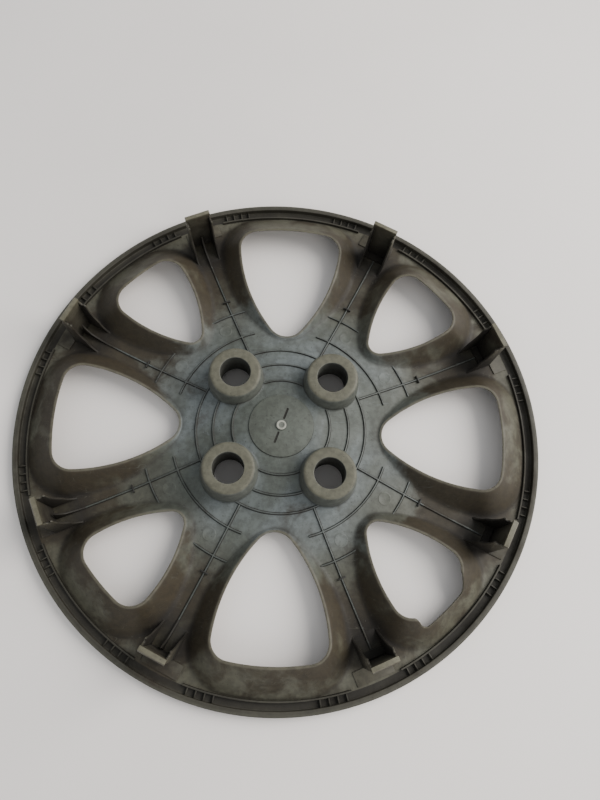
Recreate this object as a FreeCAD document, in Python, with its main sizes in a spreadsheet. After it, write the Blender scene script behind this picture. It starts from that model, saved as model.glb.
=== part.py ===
import FreeCAD, Part
import math
import os
import Sketcher

# Wheel cover for a 14 inch steel wheel with four lugs, lying face down.
# Millimetres. +Z points to the wheel side, the origin is on the axis of the cover, on the
# plane that its front face rests on. Four wide windows lie on the X and Y axes and four
# narrow ones between them, with a spoke and a retaining clip between each pair.

SIZES = [
    # rim
    ("rim_radius", 194.8), ("rim_height", 7.5), ("lip_width", 4.0), ("bead_inner", 186.0),
    ("rim_seat_radius", 185.4), ("rim_seat_height", 2.4), ("rim_front_round", 2.4),
    ("rim_bulge", 0.7),
    # skin: heights of its wheel side, and radii where its slope changes
    ("skin", 2.6), ("hub_flat", 24.0), ("hub_top", 22.4), ("hub_knee", 64.0), ("knee_top", 12.4),
    ("spoke_knee", 110.0), ("spoke_top", 4.0), ("spoke_flat", 132.0), ("block_depth", 14.0),
    # window edges lie on a plane that rises outwards
    ("edge_base", 3.0), ("edge_slope", 6.5), ("edge_wall", 2.3), ("draft_depth", 40.0),
    ("draft_run", 34.0), ("over_run", 2.0), ("corner_round", 13.0), ("window_outer", 163.0),
    ("wide_apex_x", 90.0), ("wide_apex_radius", 14.0), ("wide_half", 39.0), ("wide_widest_x", 158.0),
    ("slim_apex_x", 103.5), ("slim_apex_radius", 8.0), ("slim_half", 28.8), ("slim_widest_x", 163.0),
    # where the skin is divided into hub, spokes and rim band
    ("hub_split", 75.5), ("rim_split", 164.0),
    # lug sleeves on the wheel's bolt circle
    ("lug_circle", 50.0), ("lug_bore", 11.0), ("sleeve_base", 20.5), ("sleeve_mouth", 18.8),
    ("sleeve_bottom", 10.0), ("sleeve_shoulder", 22.6), ("sleeve_top", 33.7), ("sleeve_round", 1.6),
    ("mouth_bulge", 0.45),
    # hub details
    ("disc_radius", 23.5), ("disc_rise", 0.8), ("disc_draft", 0.3), ("slot_width", 1.6),
    ("slot_length", 9.0), ("slot_place", 9.5), ("slot_depth", 0.55), ("slot_turn", 72.0),
    ("pip_radius", 3.6), ("pip_rise", 1.4), ("pip_edge", 0.5), ("rib_width", 1.2), ("rib_rise", 1.3),
    ("ring_small", 35.6), ("ring_middle", 49.7), ("ring_large", 62.3), ("arc_radius", 80.3),
    ("cross_radius", 102.0), ("spoke_angle", 24.8), ("spoke_rib_end", 165.0), ("nub_place", 114.6),
    ("nub_span", 6.0), ("nub_rise", 2.4), ("nub_sink", 0.2), ("arc_half_angle", 27.7),
    ("cross_near", 10.6), ("cross_far", 26.0),
    # retaining clips
    ("clip_width", 19.2), ("clip_face", 174.3), ("clip_top", 43.6), ("tongue_wall", 2.9),
    ("cheek_wall", 1.4), ("cheek_top", 39.3), ("cheek_toe", 153.5), ("clip_gap", 0.3),
    ("lip_under", 40.3), ("barb", 1.1), ("plinth_inner", 165.6), ("plinth_outer", 170.7),
    ("plinth_rise", 3.0), ("plate_rise", 0.8), ("plate_end", 184.2), ("plate_side", 18.0),
    ("seat_radius", 1.7), ("seat_place", 168.7), ("seat_bulge", 1.6), ("cheek_shoulder", 0.4),
    ("cheek_round", 1.0), ("shoulder_bulge", 0.9), ("toe_run", 5.2), ("toe_top", 15.5),
    ("toe_bulge", 1.6), ("barb_drop", 1.8), ("stem_relief", 0.7),
    # ladder ribs in the rim channel, and the notch for the valve
    ("ladder_width", 0.9), ("ladder_pitch", 1.87), ("ladder_near", 5.4), ("ladder_far", 8.3),
    ("gap_near", 4.2), ("gap_far", 7.1), ("valve_radius", 170.3), ("valve_start", 307.7),
    ("valve_span", 14.0),
]
SPOKES = 8
LADDER_RIBS = 4
CUT_FROM, CUT_HEIGHT = -20.0, 80.0

doc = FreeCAD.newDocument("wheel_cover")
sheet = doc.addObject("Spreadsheet::Sheet", "sizes")
for row, (alias, value) in enumerate(SIZES, start=1):
    sheet.set(f"A{row}", alias)
    sheet.set(f"B{row}", str(value))
    sheet.setAlias(f"B{row}", alias)
doc.recompute()

PARTS = []


def cell(alias):
    """The value of one driving dimension."""
    return float(getattr(sheet, alias))


def number(expression):
    """The value of an expression of driving dimensions, such as 'rim_radius - lip_width'."""
    names = {alias: cell(alias) for alias, _ in SIZES}
    total = 0.0
    sign = 1.0
    for word in expression.split():
        if word in "+-":
            sign = 1.0 if word == "+" else -1.0
        else:
            factors = [names[f] if f in names else float(f) for f in word.split("*")]
            total += sign * math.prod(factors)
            sign = 1.0
    return total


def bound(expression):
    """The same expression, written for the expression engine."""
    words = []
    for word in expression.split():
        factors = word.split("*")
        words.append(" * ".join(f"sizes.{f}" if f[0].isalpha() else f for f in factors))
    return " ".join(words)


def keep(item, label):
    """Name a finished sub-part and put it on the list of nodes."""
    item.Label = label
    PARTS.append(item)
    return item


def new_body(label, angle=0.0):
    """An empty body, turned about the cover's axis."""
    item = doc.addObject("PartDesign::Body", label)
    item.AllowCompound = True
    item.Placement = FreeCAD.Placement(
        FreeCAD.Vector(0, 0, 0), FreeCAD.Rotation(FreeCAD.Vector(0, 0, 1), angle)
    )
    return item


def plane(item, role):
    """One of a body's own origin planes or axes, found by its role."""
    return next(f for f in item.Origin.OriginFeatures if f.Role == role)


def new_sketch(item, name, role, offset=None):
    """A sketch on one of the body's own origin planes."""
    sketch = item.newObject("Sketcher::SketchObject", name)
    sketch.AttachmentSupport = [(plane(item, role), "")]
    sketch.MapMode = "FlatFace"
    if offset is not None:
        sketch.AttachmentOffset = offset
    return sketch


def pin_point(sketch, geometry, end, across, up):
    """Bind both coordinates of a sketch point to the driving dimensions."""
    for kind, axis, expression in (("DistanceX", -2, across), ("DistanceY", -1, up)):
        value = number(expression)
        if abs(value) < 1e-9:
            sketch.addConstraint(Sketcher.Constraint("PointOnObject", geometry, end, axis))
            continue
        index = sketch.addConstraint(Sketcher.Constraint(kind, -1, 1, geometry, end, value))
        sketch.setExpression(f"Constraints[{index}]", bound(expression))


def outline(sketch, corners):
    """A closed outline. Each corner is (across, up), or (across, up, bulge) where the edge that
    leaves it is an arc whose middle stands that far to the left of its chord."""
    points = [FreeCAD.Vector(number(c[0]), number(c[1]), 0) for c in corners]
    count = len(corners)
    for k, corner in enumerate(corners):
        start, stop = points[k], points[(k + 1) % count]
        if len(corner) == 3:
            chord = stop - start
            middle = (start + stop) * 0.5 + FreeCAD.Vector(-chord.y, chord.x, 0).normalize() * corner[2]
            sketch.addGeometry(Part.Arc(start, middle, stop), False)
        else:
            sketch.addGeometry(Part.LineSegment(start, stop), False)
    for k in range(count):
        leaves = 1 if points[k].isEqual(edge_end(sketch, k, 1), 1e-6) else 2
        before = (k - 1) % count
        arrives = 1 if points[k].isEqual(edge_end(sketch, before, 1), 1e-6) else 2
        sketch.addConstraint(Sketcher.Constraint("Coincident", before, arrives, k, leaves))
        pin_point(sketch, k, leaves, corners[k][0], corners[k][1])


def edge_end(sketch, geometry, end):
    """One end of a sketch edge."""
    return sketch.getPoint(geometry, end)


def revolve(item, name, corners, cut=False):
    """Turn an outline in the XZ plane a whole turn about the cover's axis."""
    sketch = new_sketch(item, name + "_profile", "XZ_Plane")
    outline(sketch, corners)
    kind = "PartDesign::Groove" if cut else "PartDesign::Revolution"
    feature = item.newObject(kind, name)
    feature.Profile = sketch
    feature.ReferenceAxis = (sketch, ["V_Axis"])
    feature.Angle = 360
    return feature


def pad(item, name, corners, width, cut=False):
    """Extrude an outline in the XZ plane both ways from it, to the given width."""
    sketch = new_sketch(item, name + "_profile", "XZ_Plane")
    outline(sketch, corners)
    feature = item.newObject("PartDesign::Pocket" if cut else "PartDesign::Pad", name)
    feature.Profile = sketch
    feature.Midplane = True
    feature.setExpression("Length", bound(width))
    return feature


# The slope of the skin's wheel side, from the axis to the rim, as (radius, height).
WHEEL_SIDE = [("0", "hub_top"), ("hub_flat", "hub_top"), ("hub_knee", "knee_top"),
              ("spoke_knee", "spoke_top"), ("spoke_flat", "skin"), ("bead_inner", "skin")]


def wheel_side_height(radius):
    """Height of the skin's wheel side at a radius, away from the window surrounds."""
    knots = [(number(r), number(z)) for r, z in WHEEL_SIDE]
    for (r0, z0), (r1, z1) in zip(knots, knots[1:]):
        if radius <= r1:
            return z0 + (z1 - z0) * (radius - r0) / (r1 - r0)
    return knots[-1][1]


def window_arcs(prefix, grow):
    """Centres and radii of the arcs that bound a window, all grown outwards by the same amount."""
    apex = FreeCAD.Vector(cell(prefix + "_apex_x"), 0, 0)
    apex_radius = cell(prefix + "_apex_radius")
    half = cell(prefix + "_half")
    along = cell(prefix + "_widest_x") - apex.x
    side_radius = (along ** 2 + half ** 2 - apex_radius ** 2) / (2 * (half - apex_radius))
    side = FreeCAD.Vector(apex.x + along, half - side_radius, 0)
    corner_radius = cell("corner_round")
    from_side = side_radius - corner_radius
    from_hub = cell("window_outer") - corner_radius
    gap = side.Length
    reach = (from_hub ** 2 - from_side ** 2 + gap ** 2) / (2 * gap)
    rise = math.sqrt(from_hub ** 2 - reach ** 2)
    toward = FreeCAD.Vector(side.x, side.y, 0).normalize()
    corner = toward * reach + FreeCAD.Vector(-toward.y, toward.x, 0) * rise
    return [(apex, apex_radius + grow), (side, side_radius + grow),
            (corner, corner_radius + grow), (FreeCAD.Vector(0, 0, 0), cell("window_outer") + grow)]


def touch(one, two):
    """Where two arcs of a window meet: they touch from inside."""
    (centre, radius), (other, other_radius) = one, two
    if radius < other_radius:
        return centre + (centre - other).normalize() * radius
    return other + (other - centre).normalize() * other_radius


def window_sketch(item, name, prefix, depth, grow, turn):
    """A window's outline, grown, on its tilted plane moved along the plane's normal."""
    tilt = FreeCAD.Rotation(FreeCAD.Vector(0, 1, 0), -cell("edge_slope"))
    swing = FreeCAD.Rotation(FreeCAD.Vector(0, 0, 1), turn).multiply(tilt)
    base = FreeCAD.Vector(0, 0, cell("edge_base")) + swing.multVec(FreeCAD.Vector(0, 0, depth))
    sketch = new_sketch(item, name, "XY_Plane", FreeCAD.Placement(base, swing))
    apex, side, corner, outer = window_arcs(prefix, grow)

    def below(point):
        return FreeCAD.Vector(point.x, -point.y, 0)

    marks = [touch(apex, side), touch(side, corner), touch(corner, outer)]
    runs = [(apex, below(marks[0]), marks[0], 180.0), (side, marks[0], marks[1], None),
            (corner, marks[1], marks[2], None), (outer, marks[2], below(marks[2]), 0.0),
            ((below(corner[0]), corner[1]), below(marks[2]), below(marks[1]), None),
            ((below(side[0]), side[1]), below(marks[1]), below(marks[0]), None)]
    for (centre, radius), start, stop, heading in runs:
        if heading is None:
            middle = centre + ((start - centre) + (stop - centre)).normalize() * radius
        else:
            middle = centre + FreeCAD.Vector(math.cos(math.radians(heading)), 0, 0) * radius
        sketch.addGeometry(Part.Arc(start, middle, stop), False)
    for k, (_, _, meeting, _) in enumerate(runs):
        follower = (k + 1) % len(runs)
        leaves = 1 if meeting.isEqual(edge_end(sketch, k, 1), 1e-5) else 2
        arrives = 1 if meeting.isEqual(edge_end(sketch, follower, 1), 1e-5) else 2
        sketch.addConstraint(Sketcher.Constraint("Coincident", k, leaves, follower, arrives))
    sizes = {0: f"{prefix}_apex_radius", 2: "corner_round", 3: "window_outer"}
    for geometry, alias in sizes.items():
        index = sketch.addConstraint(Sketcher.Constraint("Radius", geometry, runs[geometry][0][1]))
        sketch.setExpression(f"Constraints[{index}]", f"sizes.{alias} + {grow:.3f}")
    return sketch


def window_loft(item, name, prefix, turn, cut):
    """A window's drafted surround, or the hollow inside it: narrow at the window's edge and
    wider towards the front of the cover."""
    spread = cell("draft_run") / cell("draft_depth")
    above = cell("over_run") if cut else 0.0
    inset = 0.0 if cut else cell("edge_wall")
    top = window_sketch(item, name + "_top", prefix, above, inset - above * spread, turn)
    bottom = window_sketch(item, name + "_foot", prefix, -cell("draft_depth"),
                           inset + cell("draft_run"), turn)
    feature = item.newObject("PartDesign::SubtractiveLoft" if cut else "PartDesign::AdditiveLoft", name)
    feature.Profile = top
    feature.Sections = [bottom]
    feature.Ruled = True
    return feature


def quarter_turns(item, name, originals):
    """Repeat features at the four quarters of the cover."""
    pattern = item.newObject("PartDesign::PolarPattern", name)
    pattern.Originals = originals
    pattern.Axis = (plane(item, "Z_Axis"), [""])
    pattern.Angle = 360
    pattern.Occurrences = 4
    item.Tip = pattern
    return pattern


def make_skin():
    """The whole moulded skin: a dished plate with drafted surrounds that rise to its windows."""
    item = new_body("skin_master")
    floor = [("bead_inner", "0 - block_depth"), ("0", "0 - block_depth")]
    revolve(item, "plate", WHEEL_SIDE + floor)
    for prefix, turn in (("wide", 0.0), ("slim", 45.0)):
        window_loft(item, prefix + "_surround", prefix, turn, cut=False)
    doc.recompute()
    quarter_turns(item, "surrounds", [doc.getObject("wide_surround"), doc.getObject("slim_surround")])
    doc.recompute()
    solid = item.Shape.Volume
    front = [(r, f"{z} - skin") for r, z in WHEEL_SIDE[:-1]]
    deep = "0 - 4*block_depth"
    front += [("rim_radius + draft_run", "0"), ("rim_radius + draft_run", deep), ("0", deep)]
    revolve(item, "front_hollow", front, cut=True)
    doc.recompute()
    hollow = item.Shape.Volume
    for prefix, turn in (("wide", 0.0), ("slim", 45.0)):
        window_loft(item, prefix + "_opening", prefix, turn, cut=True)
    doc.recompute()
    quarter_turns(item, "openings", [doc.getObject("wide_opening"), doc.getObject("slim_opening")])
    doc.recompute()
    print(f"skin volumes: block {solid:.0f}, hollowed {hollow:.0f}, opened {item.Shape.Volume:.0f}")
    valve_notch = cylinder("valve_notch", "valve_radius", cell("valve_span"), cell("valve_start"))
    within = cylinder("valve_notch_inner", "window_outer - corner_round")
    return boolean("Part::Cut", "skin", item, boolean("Part::Cut", "valve_cutter", valve_notch, within))


def cylinder(name, radius, angle=360.0, turn=0.0):
    """A cutter on the cover's axis, or a sector of one, longer than the cover is deep."""
    item = doc.addObject("Part::Cylinder", name)
    item.setExpression("Radius", bound(radius))
    item.Height = CUT_HEIGHT
    item.Angle = angle
    item.Placement = FreeCAD.Placement(
        FreeCAD.Vector(0, 0, CUT_FROM), FreeCAD.Rotation(FreeCAD.Vector(0, 0, 1), turn)
    )
    return item


def boolean(kind, name, base, tool):
    """A Part::Cut or Part::Common of two objects."""
    item = doc.addObject(kind, name)
    item.Base = base
    item.Tool = tool
    return item


def divide_skin(skin):
    """Divide the skin into the hub shell, eight spokes and eight stretches of the rim band."""
    hub_core = cylinder("hub_core", "hub_split")
    rim_core = cylinder("rim_core", "rim_split")
    all_holes = lug_posts("lug_hole", "sleeve_base")
    hub = boolean("Part::Common", "hub_round", skin, hub_core)
    keep(boolean("Part::Cut", "hub_shell", hub, all_holes), "hub_shell")
    for k in range(SPOKES):
        for label, radius, core in (("spoke", "rim_split", hub_core), ("rim_band", "bead_inner", rim_core)):
            sector = cylinder(f"{label}_sector_{k + 1}", radius, 45.0, 45.0 * k)
            wedge = boolean("Part::Cut", f"{label}_wedge_{k + 1}", sector, core)
            keep(boolean("Part::Common", f"{label}_{k + 1}", skin, wedge), f"{label}_{k + 1}")


def make_rim_bead():
    """The outer bead: channel floor, upright lip with a flat end, and a rounded front edge."""
    item = new_body("rim_bead")
    revolve(item, "bead", [
        ("bead_inner", "0"), ("rim_radius - rim_front_round", "0", -cell("rim_bulge")),
        ("rim_radius", "rim_front_round"), ("rim_radius", "rim_height"),
        ("rim_radius - lip_width", "rim_height"), ("rim_radius - lip_width", "skin"),
        ("bead_inner", "skin")])
    keep(item, "rim_bead")


def make_lug_sleeve(k):
    """One sleeve over a wheel bolt: straight foot, drafted neck, rounded mouth, through bore."""
    item = new_body(f"lug_sleeve_{k + 1}")
    item.Placement.Base = lug_place(k)
    revolve(item, f"sleeve_{k + 1}", [
        ("lug_bore", "sleeve_bottom"), ("sleeve_base", "sleeve_bottom"),
        ("sleeve_base", "sleeve_shoulder"),
        ("sleeve_mouth", "sleeve_top - sleeve_round", cell("mouth_bulge")),
        ("sleeve_mouth - sleeve_round", "sleeve_top"), ("lug_bore", "sleeve_top")])
    keep(item, f"lug_sleeve_{k + 1}")


def make_centre_disc():
    """The raised disc in the middle of the hub, with a plain slot on each side of its centre."""
    item = new_body("centre_disc", cell("slot_turn"))
    top = "hub_top + disc_rise"
    revolve(item, "disc", [("0", "hub_top"), ("disc_radius", "hub_top"),
                           ("disc_radius - disc_draft", top), ("0", top)])
    for k, side in enumerate((1, -1)):
        near = f"{side}*slot_place - 0.5*slot_length"
        far = f"{side}*slot_place + 0.5*slot_length"
        floor, above = f"{top} - slot_depth", f"{top} + slot_depth"
        pad(item, f"slot_{k + 1}", [(near, floor), (far, floor), (far, above), (near, above)],
            "slot_width", cut=True)
    keep(item, "centre_disc")


def make_gate_pip():
    """The stub that the moulding gate leaves in the middle."""
    item = new_body("gate_pip")
    revolve(item, "pip", [
        ("0", "hub_top + disc_rise"), ("pip_radius", "hub_top + disc_rise"),
        ("pip_radius", "hub_top + disc_rise + pip_rise - pip_edge"),
        ("pip_radius - pip_edge", "hub_top + disc_rise + pip_rise"),
        ("0", "hub_top + disc_rise + pip_rise")])
    keep(item, "gate_pip")


def on_skin(radius_word, side):
    """The corner where one side of a round rib meets the skin, as two expressions."""
    radius = number(radius_word) + side * cell("rib_width") / 2
    return f"{radius_word} {'+' if side > 0 else '-'} 0.5*rib_width", f"{wheel_side_height(radius):.4f}"


def make_ring_rib(label, radius_word):
    """A low round rib on the wheel side of the skin."""
    inner, outer = on_skin(radius_word, -1), on_skin(radius_word, 1)
    top = f"{max(float(inner[1]), float(outer[1])):.4f} + rib_rise"
    item = new_body(label + "_whole")
    revolve(item, label + "_turn", [inner, outer, (outer[0], top), (inner[0], top)])
    return item


def spans_of(label, spans):
    """Sectors of the cover, to keep only these spans of angles of a round rib."""
    wedges = [cylinder(f"{label}_span_{k + 1}", "rim_radius", stop - start, start)
              for k, (start, stop) in enumerate(spans)]
    return fused(label + "_spans", wedges)


def fused(name, shapes):
    """A Part::MultiFuse of several objects."""
    item = doc.addObject("Part::MultiFuse", name)
    item.Shapes = shapes
    return item


def lug_posts(prefix, radius):
    """Four upright cylinders on the lug circle, fused into one cutter."""
    posts = []
    for k in range(4):
        post = doc.addObject("Part::Cylinder", f"{prefix}_{k + 1}")
        post.setExpression("Radius", bound(radius))
        post.Height = CUT_HEIGHT
        post.Placement.Base = lug_place(k, CUT_FROM)
        posts.append(post)
    return fused(prefix + "s", posts)


def lug_place(k, height=0.0):
    """The place of lug k on its circle."""
    angle = math.radians(45 + 90 * k)
    reach = cell("lug_circle")
    return FreeCAD.Vector(reach * math.cos(angle), reach * math.sin(angle), height)


def make_hub_rings(posts):
    """Three rings of ribs, cut off where they run up to the sleeves."""
    for label, radius in (("hub_ring_small", "ring_small"), ("hub_ring_middle", "ring_middle"),
                          ("hub_ring_large", "ring_large")):
        keep(boolean("Part::Cut", label + "_cut", make_ring_rib(label, radius), posts), label)


def make_arc_ribs(skin):
    """Arcs across the foot of each pair of spokes, and a cross rib on each spoke."""
    half, near, far = cell("arc_half_angle"), cell("cross_near"), cell("cross_far")
    diagonals = [45.0 + 90.0 * k for k in range(4)]
    arc_spans = [(d - half, d + half) for d in diagonals]
    cross_spans = [(d + near, d + far) for d in diagonals] + [(d - far, d - near) for d in diagonals]
    for label, radius, spans in (("spoke_arc_ribs", "arc_radius", arc_spans),
                                 ("spoke_cross_ribs", "cross_radius", cross_spans)):
        whole = make_ring_rib(label, radius)
        arcs = boolean("Part::Common", label + "_arcs", whole, spans_of(label, spans))
        keep(boolean("Part::Cut", label + "_cut", arcs, skin), label)


def ring_gap(radius_word):
    """A tube cutter as wide as a round rib, to leave room for it in the ribs that cross it."""
    outer = cylinder(radius_word + "_gap_outer", radius_word + " + 0.5*rib_width")
    inner = cylinder(radius_word + "_gap_inner", radius_word + " - 0.5*rib_width")
    return boolean("Part::Cut", radius_word + "_gap", outer, inner)


def spoke_angle(k):
    """Angle of spoke k: the spokes lie in pairs on both sides of the X and Y axes."""
    half = cell("spoke_angle")
    return 90.0 * ((k + 1) // 2) + (half if k % 2 == 0 else -half)


def make_spoke_rib(k, others):
    """The thin rib down the middle of a spoke, with a small cross nub on it, cut off where it
    runs into the other ribs and the clip."""
    item = new_body(f"spoke_rib_{k + 1}_whole", spoke_angle(k))
    start = "ring_large + rib_width"
    first_foot = f"{wheel_side_height(number(start)):.4f}"
    lower = [(start, first_foot), *WHEEL_SIDE[2:5], ("spoke_rib_end", "skin")]
    upper = [(r, f"{z} + rib_rise") for r, z in reversed(lower)]
    pad(item, f"rib_{k + 1}", lower + upper, "rib_width")
    nub_foot = f"{wheel_side_height(cell('nub_place')) + cell('nub_sink'):.4f}"
    pad(item, f"nub_{k + 1}", [
        ("nub_place - 0.5*rib_width", nub_foot), ("nub_place + 0.5*rib_width", nub_foot),
        ("nub_place + 0.5*rib_width", f"{nub_foot} + nub_rise"),
        ("nub_place - 0.5*rib_width", f"{nub_foot} + nub_rise")], "nub_span")
    for n, other in enumerate(others):
        item = boolean("Part::Cut", f"spoke_rib_{k + 1}_cut_{n + 1}", item, other)
    keep(item, f"spoke_rib_{k + 1}")


def make_clip_frame(k, wide_side, skin):
    """The fixed part of a retaining clip: base plate, two cheeks and a plinth between them."""
    item = new_body(f"clip_frame_{k + 1}_whole", spoke_angle(k))
    pad(item, f"cheeks_{k + 1}", [
        ("cheek_toe", "skin"), ("clip_face", "skin"), ("clip_face", "cheek_top"),
        ("seat_place + seat_radius", "cheek_top", cell("seat_bulge")),
        ("seat_place - seat_radius", "cheek_top"),
        ("plinth_inner + cheek_shoulder", "cheek_top - cheek_round", -cell("shoulder_bulge")),
        ("plinth_inner - toe_run", "toe_top", cell("toe_bulge"))], "clip_width")
    pad(item, f"between_cheeks_{k + 1}", [
        ("cheek_toe - 4", "skin + plate_rise"), ("plinth_inner", "skin + plate_rise"),
        ("plinth_inner", "skin + plinth_rise"), ("plinth_outer", "skin + plinth_rise"),
        ("plinth_outer", "skin + plate_rise"), ("clip_face + 4", "skin + plate_rise"),
        ("clip_face + 4", "clip_top"), ("cheek_toe - 4", "clip_top")],
        "clip_width - 2*cheek_wall", cut=True)
    sketch = new_sketch(item, f"plate_{k + 1}_outline", "XY_Plane",
                        FreeCAD.Placement(FreeCAD.Vector(0, 0, cell("skin")), FreeCAD.Rotation()))
    far, near = "plate_side", "0.5*clip_width"
    low, high = (f"-1*{far}", near) if wide_side < 0 else ("-0.5*clip_width", far)
    outline(sketch, [("clip_face - 0.2", low), ("plate_end", low), ("plate_end", high),
                     ("clip_face - 0.2", high)])
    plate = item.newObject("PartDesign::Pad", f"plate_{k + 1}")
    plate.Profile = sketch
    plate.setExpression("Length", bound("plate_rise"))
    return keep(boolean("Part::Cut", f"clip_frame_{k + 1}_cut", item, skin), f"clip_frame_{k + 1}")


def make_clip_tongue(k):
    """The springing tongue of a retaining clip: narrow stem, full-width lip and an outer barb."""
    item = new_body(f"clip_tongue_{k + 1}", spoke_angle(k))
    inner = "clip_face - tongue_wall"
    foot = "skin + plate_rise + clip_gap"
    pad(item, f"stem_{k + 1}", [
        (inner, foot), ("clip_face - stem_relief", foot), ("clip_face - stem_relief", "lip_under"),
        (inner, "lip_under")], "clip_width - 2*cheek_wall - 2*clip_gap")
    pad(item, f"lip_{k + 1}", [
        (inner, "lip_under"), ("clip_face", "lip_under"), ("clip_face + barb", "clip_top - barb_drop"),
        ("clip_face", "clip_top"), (inner, "clip_top")], "clip_width")
    keep(item, f"clip_tongue_{k + 1}")


def make_rim_seat():
    """The thin upright rib round the rim channel, open at each clip."""
    item = new_body("rim_seat")
    inner, outer = "rim_seat_radius - 0.5*rib_width", "rim_seat_radius + 0.5*rib_width"
    revolve(item, "rim_seat_turn", [(inner, "skin"), (outer, "skin"),
                                    (outer, "skin + rim_seat_height"), (inner, "skin + rim_seat_height")])
    spans = spans_of("rim_seat", seat_spans())
    keep(boolean("Part::Common", "rim_seat_ribs", item, spans), "rim_seat_ribs")


def seat_spans():
    """Angles that the rim seat ribs cover: from clip to clip."""
    near, far = cell("gap_near"), cell("gap_far")
    spans = []
    for k in range(0, SPOKES, 2):
        here, following = spoke_angle(k), spoke_angle(k + 1)
        spans.append((here + near, following - near))
        spans.append((following + far, spoke_angle((k + 2)) - far))
    return spans


def make_ladder_ribs():
    """Short radial ribs across the rim channel, four on each side of every clip."""
    item = doc.addObject("Part::Feature", "rim_ladder_ribs")
    inner = cell("rim_seat_radius") + cell("rib_width") / 2
    outer = cell("rim_radius") - cell("lip_width")
    width, base = cell("ladder_width"), cell("skin")
    shapes = []
    for k in range(SPOKES):
        toward_wide = -1 if k % 2 == 0 else 1
        for side, first in ((toward_wide, cell("ladder_far")), (-toward_wide, cell("ladder_near"))):
            for n in range(LADDER_RIBS):
                angle = spoke_angle(k) + side * (first + n * cell("ladder_pitch"))
                rib = Part.makeBox(outer - inner, width, cell("rim_seat_height"),
                                   FreeCAD.Vector(inner, -width / 2, base))
                rib.rotate(FreeCAD.Vector(0, 0, 0), FreeCAD.Vector(0, 0, 1), angle)
                shapes.append(rib)
    item.Shape = Part.makeCompound(shapes)
    item.Placement = FreeCAD.Placement()
    keep(item, "rim_ladder_ribs")


def check_and_write():
    """Refuse any failed object or bad shape, then write one file for each sub-part."""
    doc.recompute()
    for item in doc.Objects:
        bad = [word for word in item.State if word in ("Invalid", "Error")]
        if bad:
            raise RuntimeError(f"{item.Name} is {bad}")
    os.makedirs("parts", exist_ok=True)
    for item in PARTS:
        shape = item.Shape
        if shape.isNull() or not shape.isValid() or not shape.Solids:
            raise RuntimeError(f"{item.Label} has no valid solid")
        shape.exportStep(os.path.join("parts", item.Label + ".step"))
        box = shape.BoundBox
        print(f"{item.Label}: {len(shape.Solids)} solids, {shape.Volume:.0f} mm3, "
              f"z {box.ZMin:.2f} to {box.ZMax:.2f}")


skin_master = make_skin()
divide_skin(skin_master)
make_rim_bead()
for n in range(4):
    make_lug_sleeve(n)
make_centre_disc()
make_gate_pip()
make_hub_rings(lug_posts("sleeve_post", "sleeve_base"))
make_arc_ribs(skin_master)
round_gaps = [ring_gap("arc_radius"), ring_gap("cross_radius")]
for n in range(SPOKES):
    clip_frame = make_clip_frame(n, -1 if n % 2 == 0 else 1, skin_master)
    make_clip_tongue(n)
    make_spoke_rib(n, [*round_gaps, clip_frame])
make_rim_seat()
make_ladder_ribs()
check_and_write()
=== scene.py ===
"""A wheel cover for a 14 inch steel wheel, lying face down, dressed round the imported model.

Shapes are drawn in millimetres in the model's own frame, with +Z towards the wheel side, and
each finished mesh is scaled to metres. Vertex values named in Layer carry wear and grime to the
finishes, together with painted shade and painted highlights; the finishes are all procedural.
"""

from __future__ import annotations

import logging
import math
from collections.abc import Callable, Sequence
from dataclasses import dataclass
from enum import Enum

import bmesh
import bpy
from bmesh.types import BMEdge, BMesh, BMFace, BMVert
from bpy.types import Material, Node, NodeSocket, NodeTree, Object
from mathutils import Euler, Matrix, Vector


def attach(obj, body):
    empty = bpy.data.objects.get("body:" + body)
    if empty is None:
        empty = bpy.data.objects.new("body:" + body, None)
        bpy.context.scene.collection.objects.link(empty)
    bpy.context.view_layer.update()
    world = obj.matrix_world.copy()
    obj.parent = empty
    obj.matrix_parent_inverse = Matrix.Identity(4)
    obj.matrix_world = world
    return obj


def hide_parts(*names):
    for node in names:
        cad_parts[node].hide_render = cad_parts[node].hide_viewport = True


LOG = logging.getLogger("wheel_cover")
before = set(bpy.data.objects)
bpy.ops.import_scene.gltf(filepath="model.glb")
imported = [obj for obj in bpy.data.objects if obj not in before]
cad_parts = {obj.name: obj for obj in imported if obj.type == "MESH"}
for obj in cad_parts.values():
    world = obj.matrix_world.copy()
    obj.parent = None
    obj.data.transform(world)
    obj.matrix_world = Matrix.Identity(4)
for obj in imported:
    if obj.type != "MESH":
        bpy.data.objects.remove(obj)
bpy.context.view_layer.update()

MM = 0.001
COVER = "cover"
SPOKES = 8
QUARTERS = 4
SMOOTH_ANGLE = 38.0
PAIR_HALF_ANGLE = 24.8
WELD = 0.002
SIDE_SHARE = 0.48

Ring = list[BMVert]
Rule = Callable[[Vector], float]
Colour = tuple[float, float, float]


class Layer(Enum):
    """Values kept on vertices, from 0 to 1, that the finishes read."""

    WEAR_AND_HIGHLIGHT = "wear"
    GRIME_AND_SHADE = "grime"
    STAIN_AND_SHADE = "stain"


class Side(Enum):
    """The two sides of the moulded skin."""

    WHEEL = "wheel"
    FRONT = "front"


# ------------------------------------------------------------------ small helpers


def smoothstep(low: float, high: float, value: float) -> float:
    """A soft step from 0 at low to 1 at high; low may be the larger."""
    t = min(1.0, max(0.0, (value - low) / (high - low)))
    return t * t * (3.0 - 2.0 * t)


def mix(a: float, b: float, t: float) -> float:
    """The value a part t of the way from a to b."""
    return a + (b - a) * t


def polar(radius: float, angle: float, height: float) -> Vector:
    """A point at a radius, an angle in radians and a height."""
    return Vector((radius * math.cos(angle), radius * math.sin(angle), height))


def spoke_angle(k: int) -> float:
    """Angle of spoke k in radians: the spokes lie in pairs beside the X and Y axes."""
    half = PAIR_HALF_ANGLE if k % 2 == 0 else -PAIR_HALF_ANGLE
    return math.radians(90.0 * ((k + 1) // 2) + half)


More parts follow.
